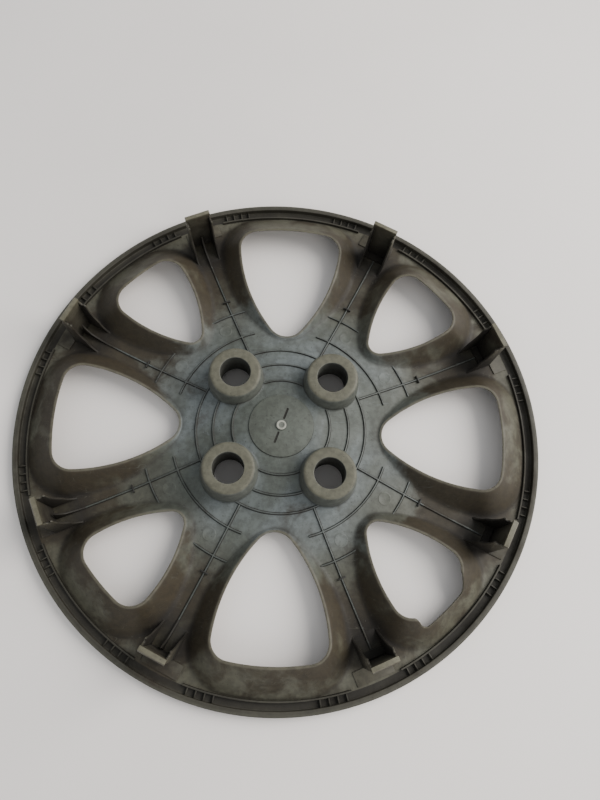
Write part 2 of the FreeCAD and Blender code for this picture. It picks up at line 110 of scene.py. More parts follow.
def diagonal(k: int) -> float:
    """Angle of the k-th diagonal between the axes, in radians."""
    return math.radians(45.0 + 90.0 * k)


def curve(start: Vector, corner: Vector, stop: Vector, t: float) -> Vector:
    """A point on the parabola that rounds a corner.

    Args:
        start: Where the rounding begins.
        corner: The sharp corner that it replaces.
        stop: Where it ends.
        t: How far along, from 0 to 1.

    Returns:
        The point.
    """
    return start * (1 - t) ** 2 + corner * (2 * t * (1 - t)) + stop * t ** 2


def bow(start: Vector, stop: Vector, bulge: float, steps: int = 6) -> list[Vector]:
    """Points on an arc between two flat points, without its last one.

    Args:
        start: First end.
        stop: Other end.
        bulge: How far the middle stands to the left of the chord.
        steps: Number of stretches.

    Returns:
        The points from start to just before stop.
    """
    chord = stop - start
    half = chord.length / 2
    radius = (half ** 2 + bulge ** 2) / (2 * bulge)
    left = Vector((-chord.y, chord.x)).normalized()
    centre = (start + stop) / 2 + left * (bulge - radius)
    spread = math.copysign(2 * math.asin(half / abs(radius)), -bulge)
    return [centre + Matrix.Rotation(spread * n / steps, 2) @ (start - centre) for n in range(steps)]


def close_ring(bm: BMesh, places: Sequence[Vector]) -> Ring:
    """Join a few vertices into a closed ring of edges.

    Args:
        bm: The mesh.
        places: Where the vertices go, in order.

    Returns:
        The ring.
    """
    ring = [bm.verts.new(place) for place in places]
    for vert, following in zip(ring, ring[1:] + ring[:1]):
        bm.edges.new((vert, following))
    return ring


def ring_edges(ring: Ring) -> list[BMEdge]:
    """The edges that join a closed ring of vertices."""
    pairs = zip(ring, ring[1:] + ring[:1])
    return [edge for vert, following in pairs for edge in vert.link_edges
            if edge.other_vert(vert) is following]


def extrude_ring(bm: BMesh, ring: Ring, places: Sequence[Vector]) -> Ring:
    """Extrude a closed ring to new places, vertex by vertex.

    Args:
        bm: The mesh.
        ring: The ring to extrude.
        places: Where each new vertex goes, in the ring's own order.

    Returns:
        The new ring, in the same order.
    """
    made = bmesh.ops.extrude_edge_only(bm, edges=ring_edges(ring))["geom"]
    fresh = {item for item in made if isinstance(item, BMVert)}
    new_ring = []
    for vert, place in zip(ring, places):
        twin = next(edge.other_vert(vert) for edge in vert.link_edges
                    if edge.other_vert(vert) in fresh)
        twin.co = place
        new_ring.append(twin)
    return new_ring


def loft(bm: BMesh, stations: Sequence[Sequence[Vector]], caps: bool = True) -> list[Ring]:
    """A skin over closed rings, each extruded from the one before.

    Args:
        bm: The mesh.
        stations: The rings' points, in the same order in each.
        caps: Whether both ends are closed.

    Returns:
        The rings.
    """
    rings = [close_ring(bm, stations[0])]
    for places in stations[1:]:
        rings.append(extrude_ring(bm, rings[-1], places))
    if caps:
        bmesh.ops.edgeloop_fill(bm, edges=ring_edges(rings[0]))
        bmesh.ops.edgeloop_fill(bm, edges=ring_edges(rings[-1]))
    return rings


def turn_profile(bm: BMesh, profile: Sequence[tuple[float, float]], centre: Vector,
                 steps: int) -> None:
    """Spin a profile a whole turn about an upright axis.

    Args:
        bm: The mesh.
        profile: Radius and height of each corner; it closes on itself.
        centre: A point of the axis.
        steps: Number of stretches round the turn.
    """
    ring = close_ring(bm, [centre + Vector((r, 0.0, z)) for r, z in profile])
    bmesh.ops.spin(bm, geom=ring + ring_edges(ring), cent=centre, axis=(0.0, 0.0, 1.0),
                   angle=math.tau, steps=steps, use_merge=True)


def rounded(profile: Sequence[tuple[float, float, float]], steps: int = 3) -> list[tuple[float, float]]:
    """Round the corners of a closed profile.

    Args:
        profile: Across, up and rounding length of each corner.
        steps: Number of stretches in each rounding.

    Returns:
        The finer profile.
    """
    points = []
    count = len(profile)
    for k, (across, up, length) in enumerate(profile):
        corner = Vector((across, up))
        if length <= 0.0:
            points.append((across, up))
            continue
        before = Vector(profile[k - 1][:2])
        after = Vector(profile[(k + 1) % count][:2])
        first = corner + (before - corner).normalized() * min(length, (before - corner).length * SIDE_SHARE)
        last = corner + (after - corner).normalized() * min(length, (after - corner).length * SIDE_SHARE)
        for n in range(steps + 1):
            point = curve(first, corner, last, n / steps)
            points.append((point.x, point.y))
    return points


def paint(bm: BMesh, layer: Layer, rule: Rule) -> None:
    """Write a vertex value.

    Args:
        bm: The mesh.
        layer: Which value.
        rule: Gives the value at a place in millimetres.
    """
    values = bm.verts.layers.float[layer.value]
    for vert in bm.verts:
        vert[values] = min(1.0, max(0.0, rule(vert.co)))


def prepare(bm: BMesh) -> None:
    """Make the vertex values before any vertex exists, so that every one has them."""
    for layer in Layer:
        bm.verts.layers.float.new(layer.value)


def finish_piece(bm: BMesh, name: str, body: str, nodes: Sequence[str],
                 material: Material) -> Object:
    """Turn a drawn shape into a piece that rides on a body.

    Args:
        bm: The shape, in millimetres. It is used up.
        name: The piece's name.
        body: The body that it rides on.
        nodes: The model's nodes that it stands for.
        material: Its finish.

    Returns:
        The object.
    """
    bmesh.ops.remove_doubles(bm, verts=bm.verts, dist=WELD)
    bmesh.ops.recalc_face_normals(bm, faces=bm.faces)
    bmesh.ops.scale(bm, vec=(MM, MM, MM), verts=bm.verts)
    mesh = bpy.data.meshes.new(name)
    bm.to_mesh(mesh)
    bm.free()
    mesh.polygons.foreach_set("use_smooth", [True] * len(mesh.polygons))
    mesh.set_sharp_from_angle(angle=math.radians(SMOOTH_ANGLE))
    mesh.materials.append(material)
    piece = bpy.data.objects.new(name, mesh)
    bpy.context.scene.collection.objects.link(piece)
    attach(piece, body)
    if nodes:
        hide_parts(*nodes)
    return piece


# ------------------------------------------------------------------ the skin


@dataclass(frozen=True)
class Dish:
    """Heights of the skin along a radius, away from the windows."""

    radii: tuple[float, ...] = (0.0, 24.0, 64.0, 110.0, 132.0, 200.0)
    heights: tuple[float, ...] = (22.4, 22.4, 12.4, 4.0, 2.6, 2.6)
    skin: float = 2.6
    knee: float = 3.0
    samples: int = 5

    def line(self, radius: float) -> float:
        """Height of the wheel side with sharp knees.

        Args:
            radius: Distance from the axis.

        Returns:
            The height.
        """
        radius = abs(radius)
        for k in range(1, len(self.radii)):
            if radius <= self.radii[k]:
                share = (radius - self.radii[k - 1]) / (self.radii[k] - self.radii[k - 1])
                return mix(self.heights[k - 1], self.heights[k], share)
        return self.heights[-1]

    def height(self, radius: float, side: Side = Side.WHEEL) -> float:
        """Height of one side of the skin, with its knees rounded.

        Args:
            radius: Distance from the axis.
            side: Which side.

        Returns:
            The height.
        """
        offsets = [self.knee * (2 * n / (self.samples - 1) - 1) for n in range(self.samples)]
        level = sum(self.line(radius + offset) for offset in offsets) / self.samples
        return level if side is Side.WHEEL else level - self.skin

    def drop(self, place: Vector, side: Side = Side.WHEEL, rise: float = 0.0) -> Vector:
        """The point of one side of the skin above or below a place, raised a little."""
        return Vector((place.x, place.y, self.height(place.xy.length, side) + rise))


@dataclass(frozen=True)
class WindowShape:
    """The outline of one kind of window: six arcs that touch, on a plane that rises outwards."""

    apex_x: float
    apex_radius: float
    half: float
    widest_x: float
    outer: float = 163.0
    corner: float = 13.0
    spacing: float = 1.7

    def arcs(self) -> list[tuple[Vector, float, Vector, Vector]]:
        """The six arcs.

        Returns:
            Centre, radius, start and stop of each, in order round the window.
        """
        apex = Vector((self.apex_x, 0.0, 0.0))
        along = self.widest_x - self.apex_x
        side_radius = (along ** 2 + self.half ** 2 - self.apex_radius ** 2) / (
            2 * (self.half - self.apex_radius))
        side = Vector((self.widest_x, self.half - side_radius, 0.0))
        from_side = side_radius - self.corner
        from_axis = self.outer - self.corner
        gap = side.length
        reach = (from_axis ** 2 - from_side ** 2 + gap ** 2) / (2 * gap)
        rise = math.sqrt(from_axis ** 2 - reach ** 2)
        toward = side.normalized()
        corner = toward * reach + Vector((-toward.y, toward.x, 0.0)) * rise
        axis = Vector((0.0, 0.0, 0.0))
        apex_end = side + (apex - side).normalized() * side_radius
        side_end = side + (corner - side).normalized() * side_radius
        corner_end = corner.normalized() * self.outer

        def below(point: Vector) -> Vector:
            """The mirror point across the window's middle line."""
            return Vector((point.x, -point.y, 0.0))

        return [(apex, self.apex_radius, apex_end, below(apex_end)),
                (below(side), side_radius, below(apex_end), below(side_end)),
                (below(corner), self.corner, below(side_end), below(corner_end)),
                (axis, self.outer, below(corner_end), corner_end),
                (corner, self.corner, corner_end, side_end),
                (side, side_radius, side_end, apex_end)]

    def samples(self) -> list[tuple[Vector, Vector]]:
        """Evenly spaced points of the outline, each with its outward direction.

        Returns:
            Each point with its direction.
        """
        found = []
        for centre, radius, start, stop in self.arcs():
            first, last = start - centre, stop - centre
            sweep = (math.atan2(last.y, last.x) - math.atan2(first.y, first.x)) % math.tau
            steps = max(3, round(sweep * radius / self.spacing))
            for n in range(steps):
                arm = Matrix.Rotation(sweep * n / steps, 3, "Z") @ first
                found.append((centre + arm, arm.normalized()))
        return found


@dataclass(frozen=True)
class ValveNotch:
    """The deeper stretch of one window's outer edge, where the valve passes."""

    depth: float = 7.3
    start: tuple[float, float] = (-53.0, -51.7)
    stop: tuple[float, float] = (-40.5, -36.8)
    least_radius: float = 148.0

    def reach(self, place: Vector) -> float:
        """How much further out the edge lies at a place of the plain outline.

        Args:
            place: A point of the plain outline.

        Returns:
            The distance.
        """
        angle = math.degrees(math.atan2(place.y, place.x))
        if place.xy.length < self.least_radius:
            return 0.0
        return self.depth * smoothstep(*self.start, angle) * (1.0 - smoothstep(*self.stop, angle))


@dataclass(frozen=True)
class Collar:
    """The drafted wall that rises from the skin to one window's edge, and back down inside."""

    shape: WindowShape
    turn: float
    notch: ValveNotch | None = None
    edge_base: float = 3.0
    edge_slope: float = 6.5
    wall: float = 2.3
    spread: float = 0.85
    edge_round: float = 1.0
    fold: float = 2.6
    rim_limit: float = 186.0
    wall_rows: int = 6
    fold_share: float = 0.45
    edge_share: float = 0.3
    flat_share: float = 0.42
    least_run: float = 0.8
    least_room: float = 0.25
    wall_grime: float = 0.35
    # Wear on the window's rounded lip, together with a painted highlight along its edge.
    lip_wear_and_highlight: tuple[float, ...] = (0.1, 0.45, 0.8, 0.75, 0.75, 0.8, 0.4, 0.1)
    deepest: float = 40.0
    halvings: int = 26

    def point(self, place: Vector, outward: Vector, depth: float, side: Side) -> Vector:
        """A point of one face of the wall.

        Args:
            place: A point of the outline.
            outward: Its outward direction.
            depth: Distance below the plane of the window's edge.
            side: Which face.

        Returns:
            The point in the cover's frame.
        """
        grow = self.spread * depth + (self.wall if side is Side.WHEEL else 0.0)
        flat = place + outward * grow
        tilt = Matrix.Rotation(math.radians(-self.edge_slope), 3, "Y")
        swing = Matrix.Rotation(math.radians(self.turn), 3, "Z")
        return swing @ (tilt @ Vector((flat.x, flat.y, -depth)) + Vector((0.0, 0.0, self.edge_base)))

    def solve(self, test: Callable[[float], bool]) -> float:
        """Find the depth at which a test first fails, by halving.

        Args:
            test: True at every depth that is too small.

        Returns:
            The depth.
        """
        low, high = 0.0, self.deepest
        for _ in range(self.halvings):
            middle = (low + high) / 2
            low, high = (middle, high) if test(middle) else (low, middle)
        return low

    def top_depth(self, place: Vector, outward: Vector, side: Side) -> float:
        """Depth at which a face starts: 0, or more where the valve notch cuts it lower.

        Args:
            place: A point of the outline.
            outward: Its outward direction.
            side: Which face.

        Returns:
            The depth.
        """
        if self.notch is None:
            return 0.0
        base = self.point(place, outward, 0.0, Side.WHEEL)
        reach = self.notch.reach(base)
        if reach <= 0.0:
            return 0.0
        target = base.xy.length + reach - (0.0 if side is Side.WHEEL else self.wall * 0.4)
        return self.solve(lambda d: self.point(place, outward, d, side).xy.length < target)

    def station(self, place: Vector, outward: Vector, dish: Dish) -> list[tuple[Vector, float, float]]:
        """The wall's cross-section at one point of the outline.

        Args:
            place: A point of the outline.
            outward: Its outward direction.
            dish: The skin's heights.

        Returns:
            Place, wear with a painted highlight on the lip, and grime of each row, from the skin's wheel side
            to its front side.
        """
        halves = []
        for side in Side:
            top = self.top_depth(place, outward, side)
            foot = self.solve(lambda d: self.point(place, outward, d, side).z > dish.height(
                self.point(place, outward, d, side).xy.length, side))
            foot = max(foot, top + self.least_run)
            run = foot - top
            fold = min(self.fold, run * self.fold_share)
            edge = min(self.edge_round, run * self.edge_share)
            foot_point = self.point(place, outward, foot, side)
            room = min(self.fold, max(self.least_room, (self.rim_limit - foot_point.xy.length) * 0.5))
            beyond = (foot_point - self.point(place, outward, foot * 0.9, side)).xy.normalized()
            lying = dish.drop(foot_point + Vector((*(beyond * room), 0.0)), side)
            start = self.point(place, outward, foot - fold, side)
            rows = [(curve(lying, foot_point, start, n / 4), 0.0, 1.0 - abs(n - 2) * 0.25) for n in range(5)]
            for n in range(1, self.wall_rows + 1):
                share = n / (self.wall_rows + 1)
                depth = mix(foot - fold, top + edge, share)
                rows.append((self.point(place, outward, depth, side), 0.0, self.wall_grime * (1 - share)))
            halves.append((rows, self.point(place, outward, top + edge, side),
                           self.point(place, outward, top, side)))
        (wheel, wheel_start, wheel_top), (front, front_start, front_top) = halves
        across = front_top - wheel_top
        flat = min(self.edge_round, across.length * self.flat_share)
        wheel_flat = wheel_top + across.normalized() * flat
        front_flat = front_top - across.normalized() * flat
        lip = [curve(wheel_start, wheel_top, wheel_flat, n / 3) for n in range(4)]
        lip += [curve(front_flat, front_top, front_start, n / 3) for n in range(4)]
        return wheel + [(spot, lightened, 0.0) for spot, lightened in zip(lip, self.lip_wear_and_highlight)] + front[::-1]

    def build(self, bm: BMesh, dish: Dish) -> tuple[Ring, Ring]:
        """Draw the wall.

        Args:
            bm: The mesh.
            dish: The skin's heights.

        Returns:
            The rings that lie on the skin's wheel side and on its front side.
        """
        stations = [self.station(place, outward, dish) for place, outward in self.shape.samples()]
        rows = [list(row) for row in zip(*stations)]
        rings = loft(bm, [[spot for spot, _, _ in row] for row in rows], caps=False)
        lightened = bm.verts.layers.float[Layer.WEAR_AND_HIGHLIGHT.value]
        darkening = bm.verts.layers.float[Layer.GRIME_AND_SHADE.value]
        for ring, row in zip(rings, rows):
            for vert, (_, wear, grime) in zip(ring, row):
                vert[lightened] = wear
                vert[darkening] = grime
        return rings[0], rings[-1]


@dataclass
class Skin:
    """The moulded skin: hub, spokes and rim channel in one, with its windows and lug holes."""

    dish: Dish = Dish()
    wide: WindowShape = WindowShape(apex_x=90.0, apex_radius=14.0, half=39.0, widest_x=158.0)
    slim: WindowShape = WindowShape(apex_x=103.5, apex_radius=8.0, half=28.8, widest_x=163.0)
    notch: ValveNotch = ValveNotch()
    edge: float = 186.0
    edge_steps: int = 360
    lug_circle: float = 50.0
    lug_hole: float = 20.2
    lug_steps: int = 72
    lug_fold: float = 2.0
    facet: float = 4.2
    clip_place: float = 163.0
    refinements: int = 6
    relaxings: int = 3
    lug_grime: tuple[float, ...] = (0.25, 0.6, 0.9, 0.7, 0.4, 0.0)
    spoke_stain: tuple[float, float] = (0.06, 0.34)
    outward_stain: tuple[float, float] = (82.0, 138.0)
    channel_stain: tuple[float, float] = (166.0, 182.0)
    wall_stain: tuple[float, float] = (1.5, 7.0)
    smudge_rise: tuple[float, float] = (-0.5, 1.5)
    smudge_reach: tuple[float, float] = (70.0, 90.0)
    clip_foot_reach: tuple[float, float] = (7.0, 27.0)

    def collars(self) -> list[Collar]:
        """The eight windows' walls.

        Returns:
            The walls, in order round the cover.
        """
        found = []
        for k in range(QUARTERS):
            found.append(Collar(self.wide, 90.0 * k))
            found.append(Collar(self.slim, 45.0 + 90.0 * k, self.notch if k == 3 else None))
        return found

    def lug_ring(self, k: int, radius: float) -> list[Vector]:
        """Points of a level circle round lug k."""
        centre = polar(self.lug_circle, diagonal(k), 0.0)
        return [centre + polar(radius, math.tau * n / self.lug_steps, 0.0)
                for n in range(self.lug_steps)]

    def lug_hole_rings(self, bm: BMesh, k: int) -> tuple[Ring, Ring]:
        """Draw the hole of one sleeve, with the small fold that runs up to it.

        Args:
            bm: The mesh.
            k: Which sleeve.

        Returns:
            The rings that lie on the skin's wheel side and on its front side.
        """
        outer = [self.dish.drop(spot) for spot in self.lug_ring(k, self.lug_hole + self.lug_fold)]
        foot = [self.dish.drop(spot) for spot in self.lug_ring(k, self.lug_hole)]
        rows = [[curve(a, b, b + Vector((0.0, 0.0, self.lug_fold)), n / 4) for a, b in zip(outer, foot)]
                for n in range(5)]
        rows.append([self.dish.drop(spot, Side.FRONT) for spot in self.lug_ring(k, self.lug_hole)])
        rings = loft(bm, rows, caps=False)
        darkening = bm.verts.layers.float[Layer.GRIME_AND_SHADE.value]
        for ring, amount in zip(rings, self.lug_grime):
            for vert in ring:
                vert[darkening] = amount
        return rings[0], rings[-1]

    def fill(self, bm: BMesh, rings: Sequence[Ring], side: Side) -> None:
        """Span one side of the skin between its rings with long facets.

        Args:
            bm: The mesh.
            rings: The outer edge and the rings of the windows and lug holes.
            side: Which side; its place in Side marks the facets until they are refined.
        """
        edges = [edge for ring in rings for edge in ring_edges(ring)]
        made = bmesh.ops.triangle_fill(bm, use_beauty=True, use_dissolve=False, edges=edges,
                                       normal=(0.0, 0.0, 1.0))["geom"]
        for item in made:
            if isinstance(item, BMFace):
                item.material_index = 1 + list(Side).index(side)

    def refine(self, bm: BMesh, side: Side) -> None:
        """Divide the long facets of one side until they follow the dish.

        Args:
            bm: The mesh.
            side: Which side.
        """
        mark = 1 + list(Side).index(side)
        for step in range(self.refinements):
            limit = self.facet * max(1.0, 2.0 ** (self.refinements - 2 - step))
            long_edges = [edge for edge in self.inner_edges(bm, mark) if edge.calc_length() > limit]
            if not long_edges:
                continue
            bmesh.ops.subdivide_edges(bm, edges=long_edges, cuts=1)
            many_sided = [face for face in bm.faces if face.material_index == mark and len(face.verts) > 3]
            bmesh.ops.triangulate(bm, faces=many_sided)
            self.relax(bm, mark, side)
        for face in bm.faces:
            if face.material_index == mark:
                face.material_index = 0

    def inner_edges(self, bm: BMesh, mark: int) -> list[BMEdge]:
        """The edges between two facets of one side."""
        return [edge for edge in bm.edges if len(edge.link_faces) == 2
                and all(face.material_index == mark for face in edge.link_faces)]

    def relax(self, bm: BMesh, mark: int, side: Side) -> None:
        """Flip the edges of thin facets, even out their corners, and lay them on the skin.

        Args:
            bm: The mesh.
            mark: The material index that marks this side's facets.
            side: Which side.
        """
        for _ in range(self.relaxings):
            facets = [face for face in bm.faces if face.material_index == mark]
            bmesh.ops.beautify_fill(bm, faces=facets, edges=self.inner_edges(bm, mark), method="ANGLE")
            inner = set(self.inner_edges(bm, mark))
            free = [vert for vert in bm.verts if vert.link_edges and all(e in inner for e in vert.link_edges)]
            bmesh.ops.smooth_vert(bm, verts=free, factor=0.5, use_axis_x=True, use_axis_y=True)
            for vert in free:
                vert.co = self.dish.drop(vert.co, side)

    def stain(self, place: Vector) -> float:
        """Brake dust baked on the skin: strongest on the outer spokes and the walls beside them, with painted
        shade added round the clip feet.

        Args:
            place: A point of the skin.

        Returns:
            The amount, before it is clamped.
        """
        radius = place.xy.length
        angle = math.atan2(place.y, place.x)
        nearest = min(abs((angle - spoke_angle(k) + math.pi) % math.tau - math.pi)
                      for k in range(SPOKES))
        near_spoke = 1.0 - smoothstep(*self.spoke_stain, nearest)
        outwards = smoothstep(*self.outward_stain, radius)
        channel = 1.0 - 0.5 * smoothstep(*self.channel_stain, radius)
        above = place.z - self.dish.height(radius)
        wall = 0.12 * smoothstep(*self.wall_stain, above) * outwards
        smudge = 0.35 * smoothstep(*self.smudge_rise, above) * smoothstep(*self.smudge_reach, radius)
        # The last term adds painted shade round the clip feet.
        return outwards * channel * mix(0.3, 0.95, near_spoke) + max(wall, smudge) + 0.5 * self.clip_foot_darkness(place)

    def clip_foot_darkness(self, place: Vector) -> float:
        """How near a place is to the foot of a clip, where painted shade and grime blacken the skin."""
        nearest = min((place.xy - polar(self.clip_place, spoke_angle(k), 0.0).xy).length
                      for k in range(SPOKES))
        return 1.0 - smoothstep(*self.clip_foot_reach, nearest)

    def build(self, material: Material) -> Object:
        """Draw the skin and make it a piece.

        Args:
            material: Its finish.

        Returns:
            The piece.
        """
        bm = bmesh.new()
        prepare(bm)
        tops, fronts = [], []
        circle = [polar(self.edge, math.tau * n / self.edge_steps, 0.0) for n in range(self.edge_steps)]
        rows = [[self.dish.drop(spot, side) for spot in circle] for side in Side]
        outer = loft(bm, rows, caps=False)
        tops.append(outer[0])
        fronts.append(outer[1])
        for collar in self.collars():
            top, front = collar.build(bm, self.dish)
            tops.append(top)
            fronts.append(front)
        for k in range(QUARTERS):
            top, front = self.lug_hole_rings(bm, k)
            tops.append(top)
            fronts.append(front)
        self.fill(bm, tops, Side.WHEEL)
        self.fill(bm, fronts, Side.FRONT)
        for side in Side:
            self.refine(bm, side)
        paint(bm, Layer.STAIN_AND_SHADE, self.stain)
        darkening = bm.verts.layers.float[Layer.GRIME_AND_SHADE.value]
        # Painted shade and grime round the clip feet darken the skin further.
        for vert in bm.verts:
            vert[darkening] = min(1.0, 0.6 * vert[darkening] + 0.55 * self.clip_foot_darkness(vert.co))
        names = ["hub_shell"] + [f"{kind}_{k + 1}" for kind in ("spoke", "rim_band")
                                 for k in range(SPOKES)]
        return finish_piece(bm, "moulded_skin", COVER, names, material)


# ------------------------------------------------------------------ rim


@dataclass
class Rim:
    """What stands on the rim channel: the outer bead, the seat ribs and the ladder ribs."""

    dish: Dish = Dish()
    outer: float = 194.8
    bead_inner: float = 186.0
    lip: float = 4.0
    top: float = 7.5
    steps: int = 360
    seat_radius: float = 185.4
    seat_width: float = 1.2
    seat_rise: float = 2.4
    gap_near: float = 4.2
    gap_far: float = 7.1
    seat_step: float = 1.5
    ladder_width: float = 0.9
    ladder_pitch: float = 1.87
    ladder_near: float = 5.4
    ladder_far: float = 8.3
    ladder_count: int = 4
    ladder_round: float = 0.22
    overlap: float = 0.3

    def bead(self, material: Material) -> Object:
        """The channel's outer floor, the upright lip with its flat end, and the front edge.

        Args:
            material: Its finish.

        Returns:
            The piece.
        """
        bm = bmesh.new()
        prepare(bm)
        floor = self.dish.skin
        inner_lip = self.outer - self.lip
        profile = rounded([
            (self.bead_inner, 0.0, 0.0), (self.outer, 0.0, 2.2), (self.outer, self.top, 0.9),
            (inner_lip, self.top, 0.7), (inner_lip + 0.4, floor, 0.8), (self.bead_inner, floor, 0.0)], 4)
        turn_profile(bm, profile, Vector((0.0, 0.0, 0.0)), self.steps)
        paint(bm, Layer.WEAR_AND_HIGHLIGHT, lambda p: smoothstep(self.top - 0.9, self.top, p.z)
              * smoothstep(self.outer - 2.8, self.outer - 0.6, p.xy.length))
        # Darker towards the inside of the lip: painted shadow under its edge, and grime in the channel.
        paint(bm, Layer.GRIME_AND_SHADE, lambda p: 1.0 - 0.6 * smoothstep(
            inner_lip - 2.5, inner_lip + 1.0, p.xy.length))
        return finish_piece(bm, "rim_bead_ring", COVER, ["rim_bead"], material)

    def seat_spans(self) -> list[tuple[float, float]]:
        """Angles in radians that the seat ribs cover, from clip to clip.

        Returns:
            First and last angle of each stretch.
        """
        near, far = math.radians(self.gap_near), math.radians(self.gap_far)
        spans = []
        for k in range(0, SPOKES, 2):
            here, following = spoke_angle(k), spoke_angle(k + 1)
            spans.append((here + near, following - near))
            spans.append((following + far, spoke_angle(k + 2) - far))
        return spans

    def seat(self, material: Material) -> Object:
        """The thin upright rib round the channel, open at each clip.

        Args:
            material: Its finish.

        Returns:
            The piece.
        """
        bm = bmesh.new()
        prepare(bm)
        half, rise = self.seat_width / 2, self.seat_rise
        section = rounded([(-half - 0.4, -0.3, 0.0), (half + 0.4, -0.3, 0.0), (half, 0.5, 0.4),
                           (half, rise, 0.35), (-half, rise, 0.35), (-half, 0.5, 0.4)], 2)
        floor = self.dish.skin
        for start, stop in self.seat_spans():
            steps = round((stop - start) * self.seat_radius / self.seat_step / 2)
            loft(bm, [[polar(self.seat_radius + across, mix(start, stop, n / steps), floor + up)
                       for across, up in section] for n in range(steps + 1)])
        # Painted shadow and grime along the rib's foot.
        paint(bm, Layer.GRIME_AND_SHADE, lambda p: 1.0 - 0.5 * smoothstep(floor, floor + rise, p.z))
        paint(bm, Layer.WEAR_AND_HIGHLIGHT, lambda p: 0.35 * smoothstep(floor + rise - 0.3, floor + rise, p.z))
        return finish_piece(bm, "rim_seat_rib", COVER, ["rim_seat_ribs"], material)

    def ladder(self, material: Material) -> Object:
        """Short ribs across the channel, four on each side of every clip.

        Args:
            material: Its finish.

        Returns:
            The piece.
        """
        bm = bmesh.new()
        prepare(bm)
        inner = self.seat_radius + self.seat_width / 2
        length = self.outer - self.lip - inner + self.overlap
        for k in range(SPOKES):
            toward_wide = -1 if k % 2 == 0 else 1
            for side, first in ((toward_wide, self.ladder_far), (-toward_wide, self.ladder_near)):
                for n in range(self.ladder_count):
                    angle = spoke_angle(k) + side * math.radians(first + n * self.ladder_pitch)
                    middle = Vector((inner + length / 2, 0.0, self.dish.skin + self.seat_rise / 2))
                    place = (Matrix.Rotation(angle, 4, "Z") @ Matrix.Translation(middle)
                             @ Matrix.Diagonal((length, self.ladder_width, self.seat_rise, 1.0)))
                    cube = bmesh.ops.create_cube(bm, size=1.0, matrix=place)["verts"]
                    edges = {edge for vert in cube for edge in vert.link_edges}
                    bmesh.ops.bevel(bm, geom=list(edges), offset=self.ladder_round, segments=2, profile=0.5,
                                    affect="EDGES", material=-1, offset_type="OFFSET")
        floor, crest = self.dish.skin, self.dish.skin + self.seat_rise
        paint(bm, Layer.GRIME_AND_SHADE, lambda p: 1.0 - 0.4 * smoothstep(floor + 1.0, crest, p.z))
        paint(bm, Layer.WEAR_AND_HIGHLIGHT, lambda p: 0.3 * smoothstep(floor + 2.0, crest, p.z))
        return finish_piece(bm, "rim_ladder", COVER, ["rim_ladder_ribs"], material)


# ------------------------------------------------------------------ hub


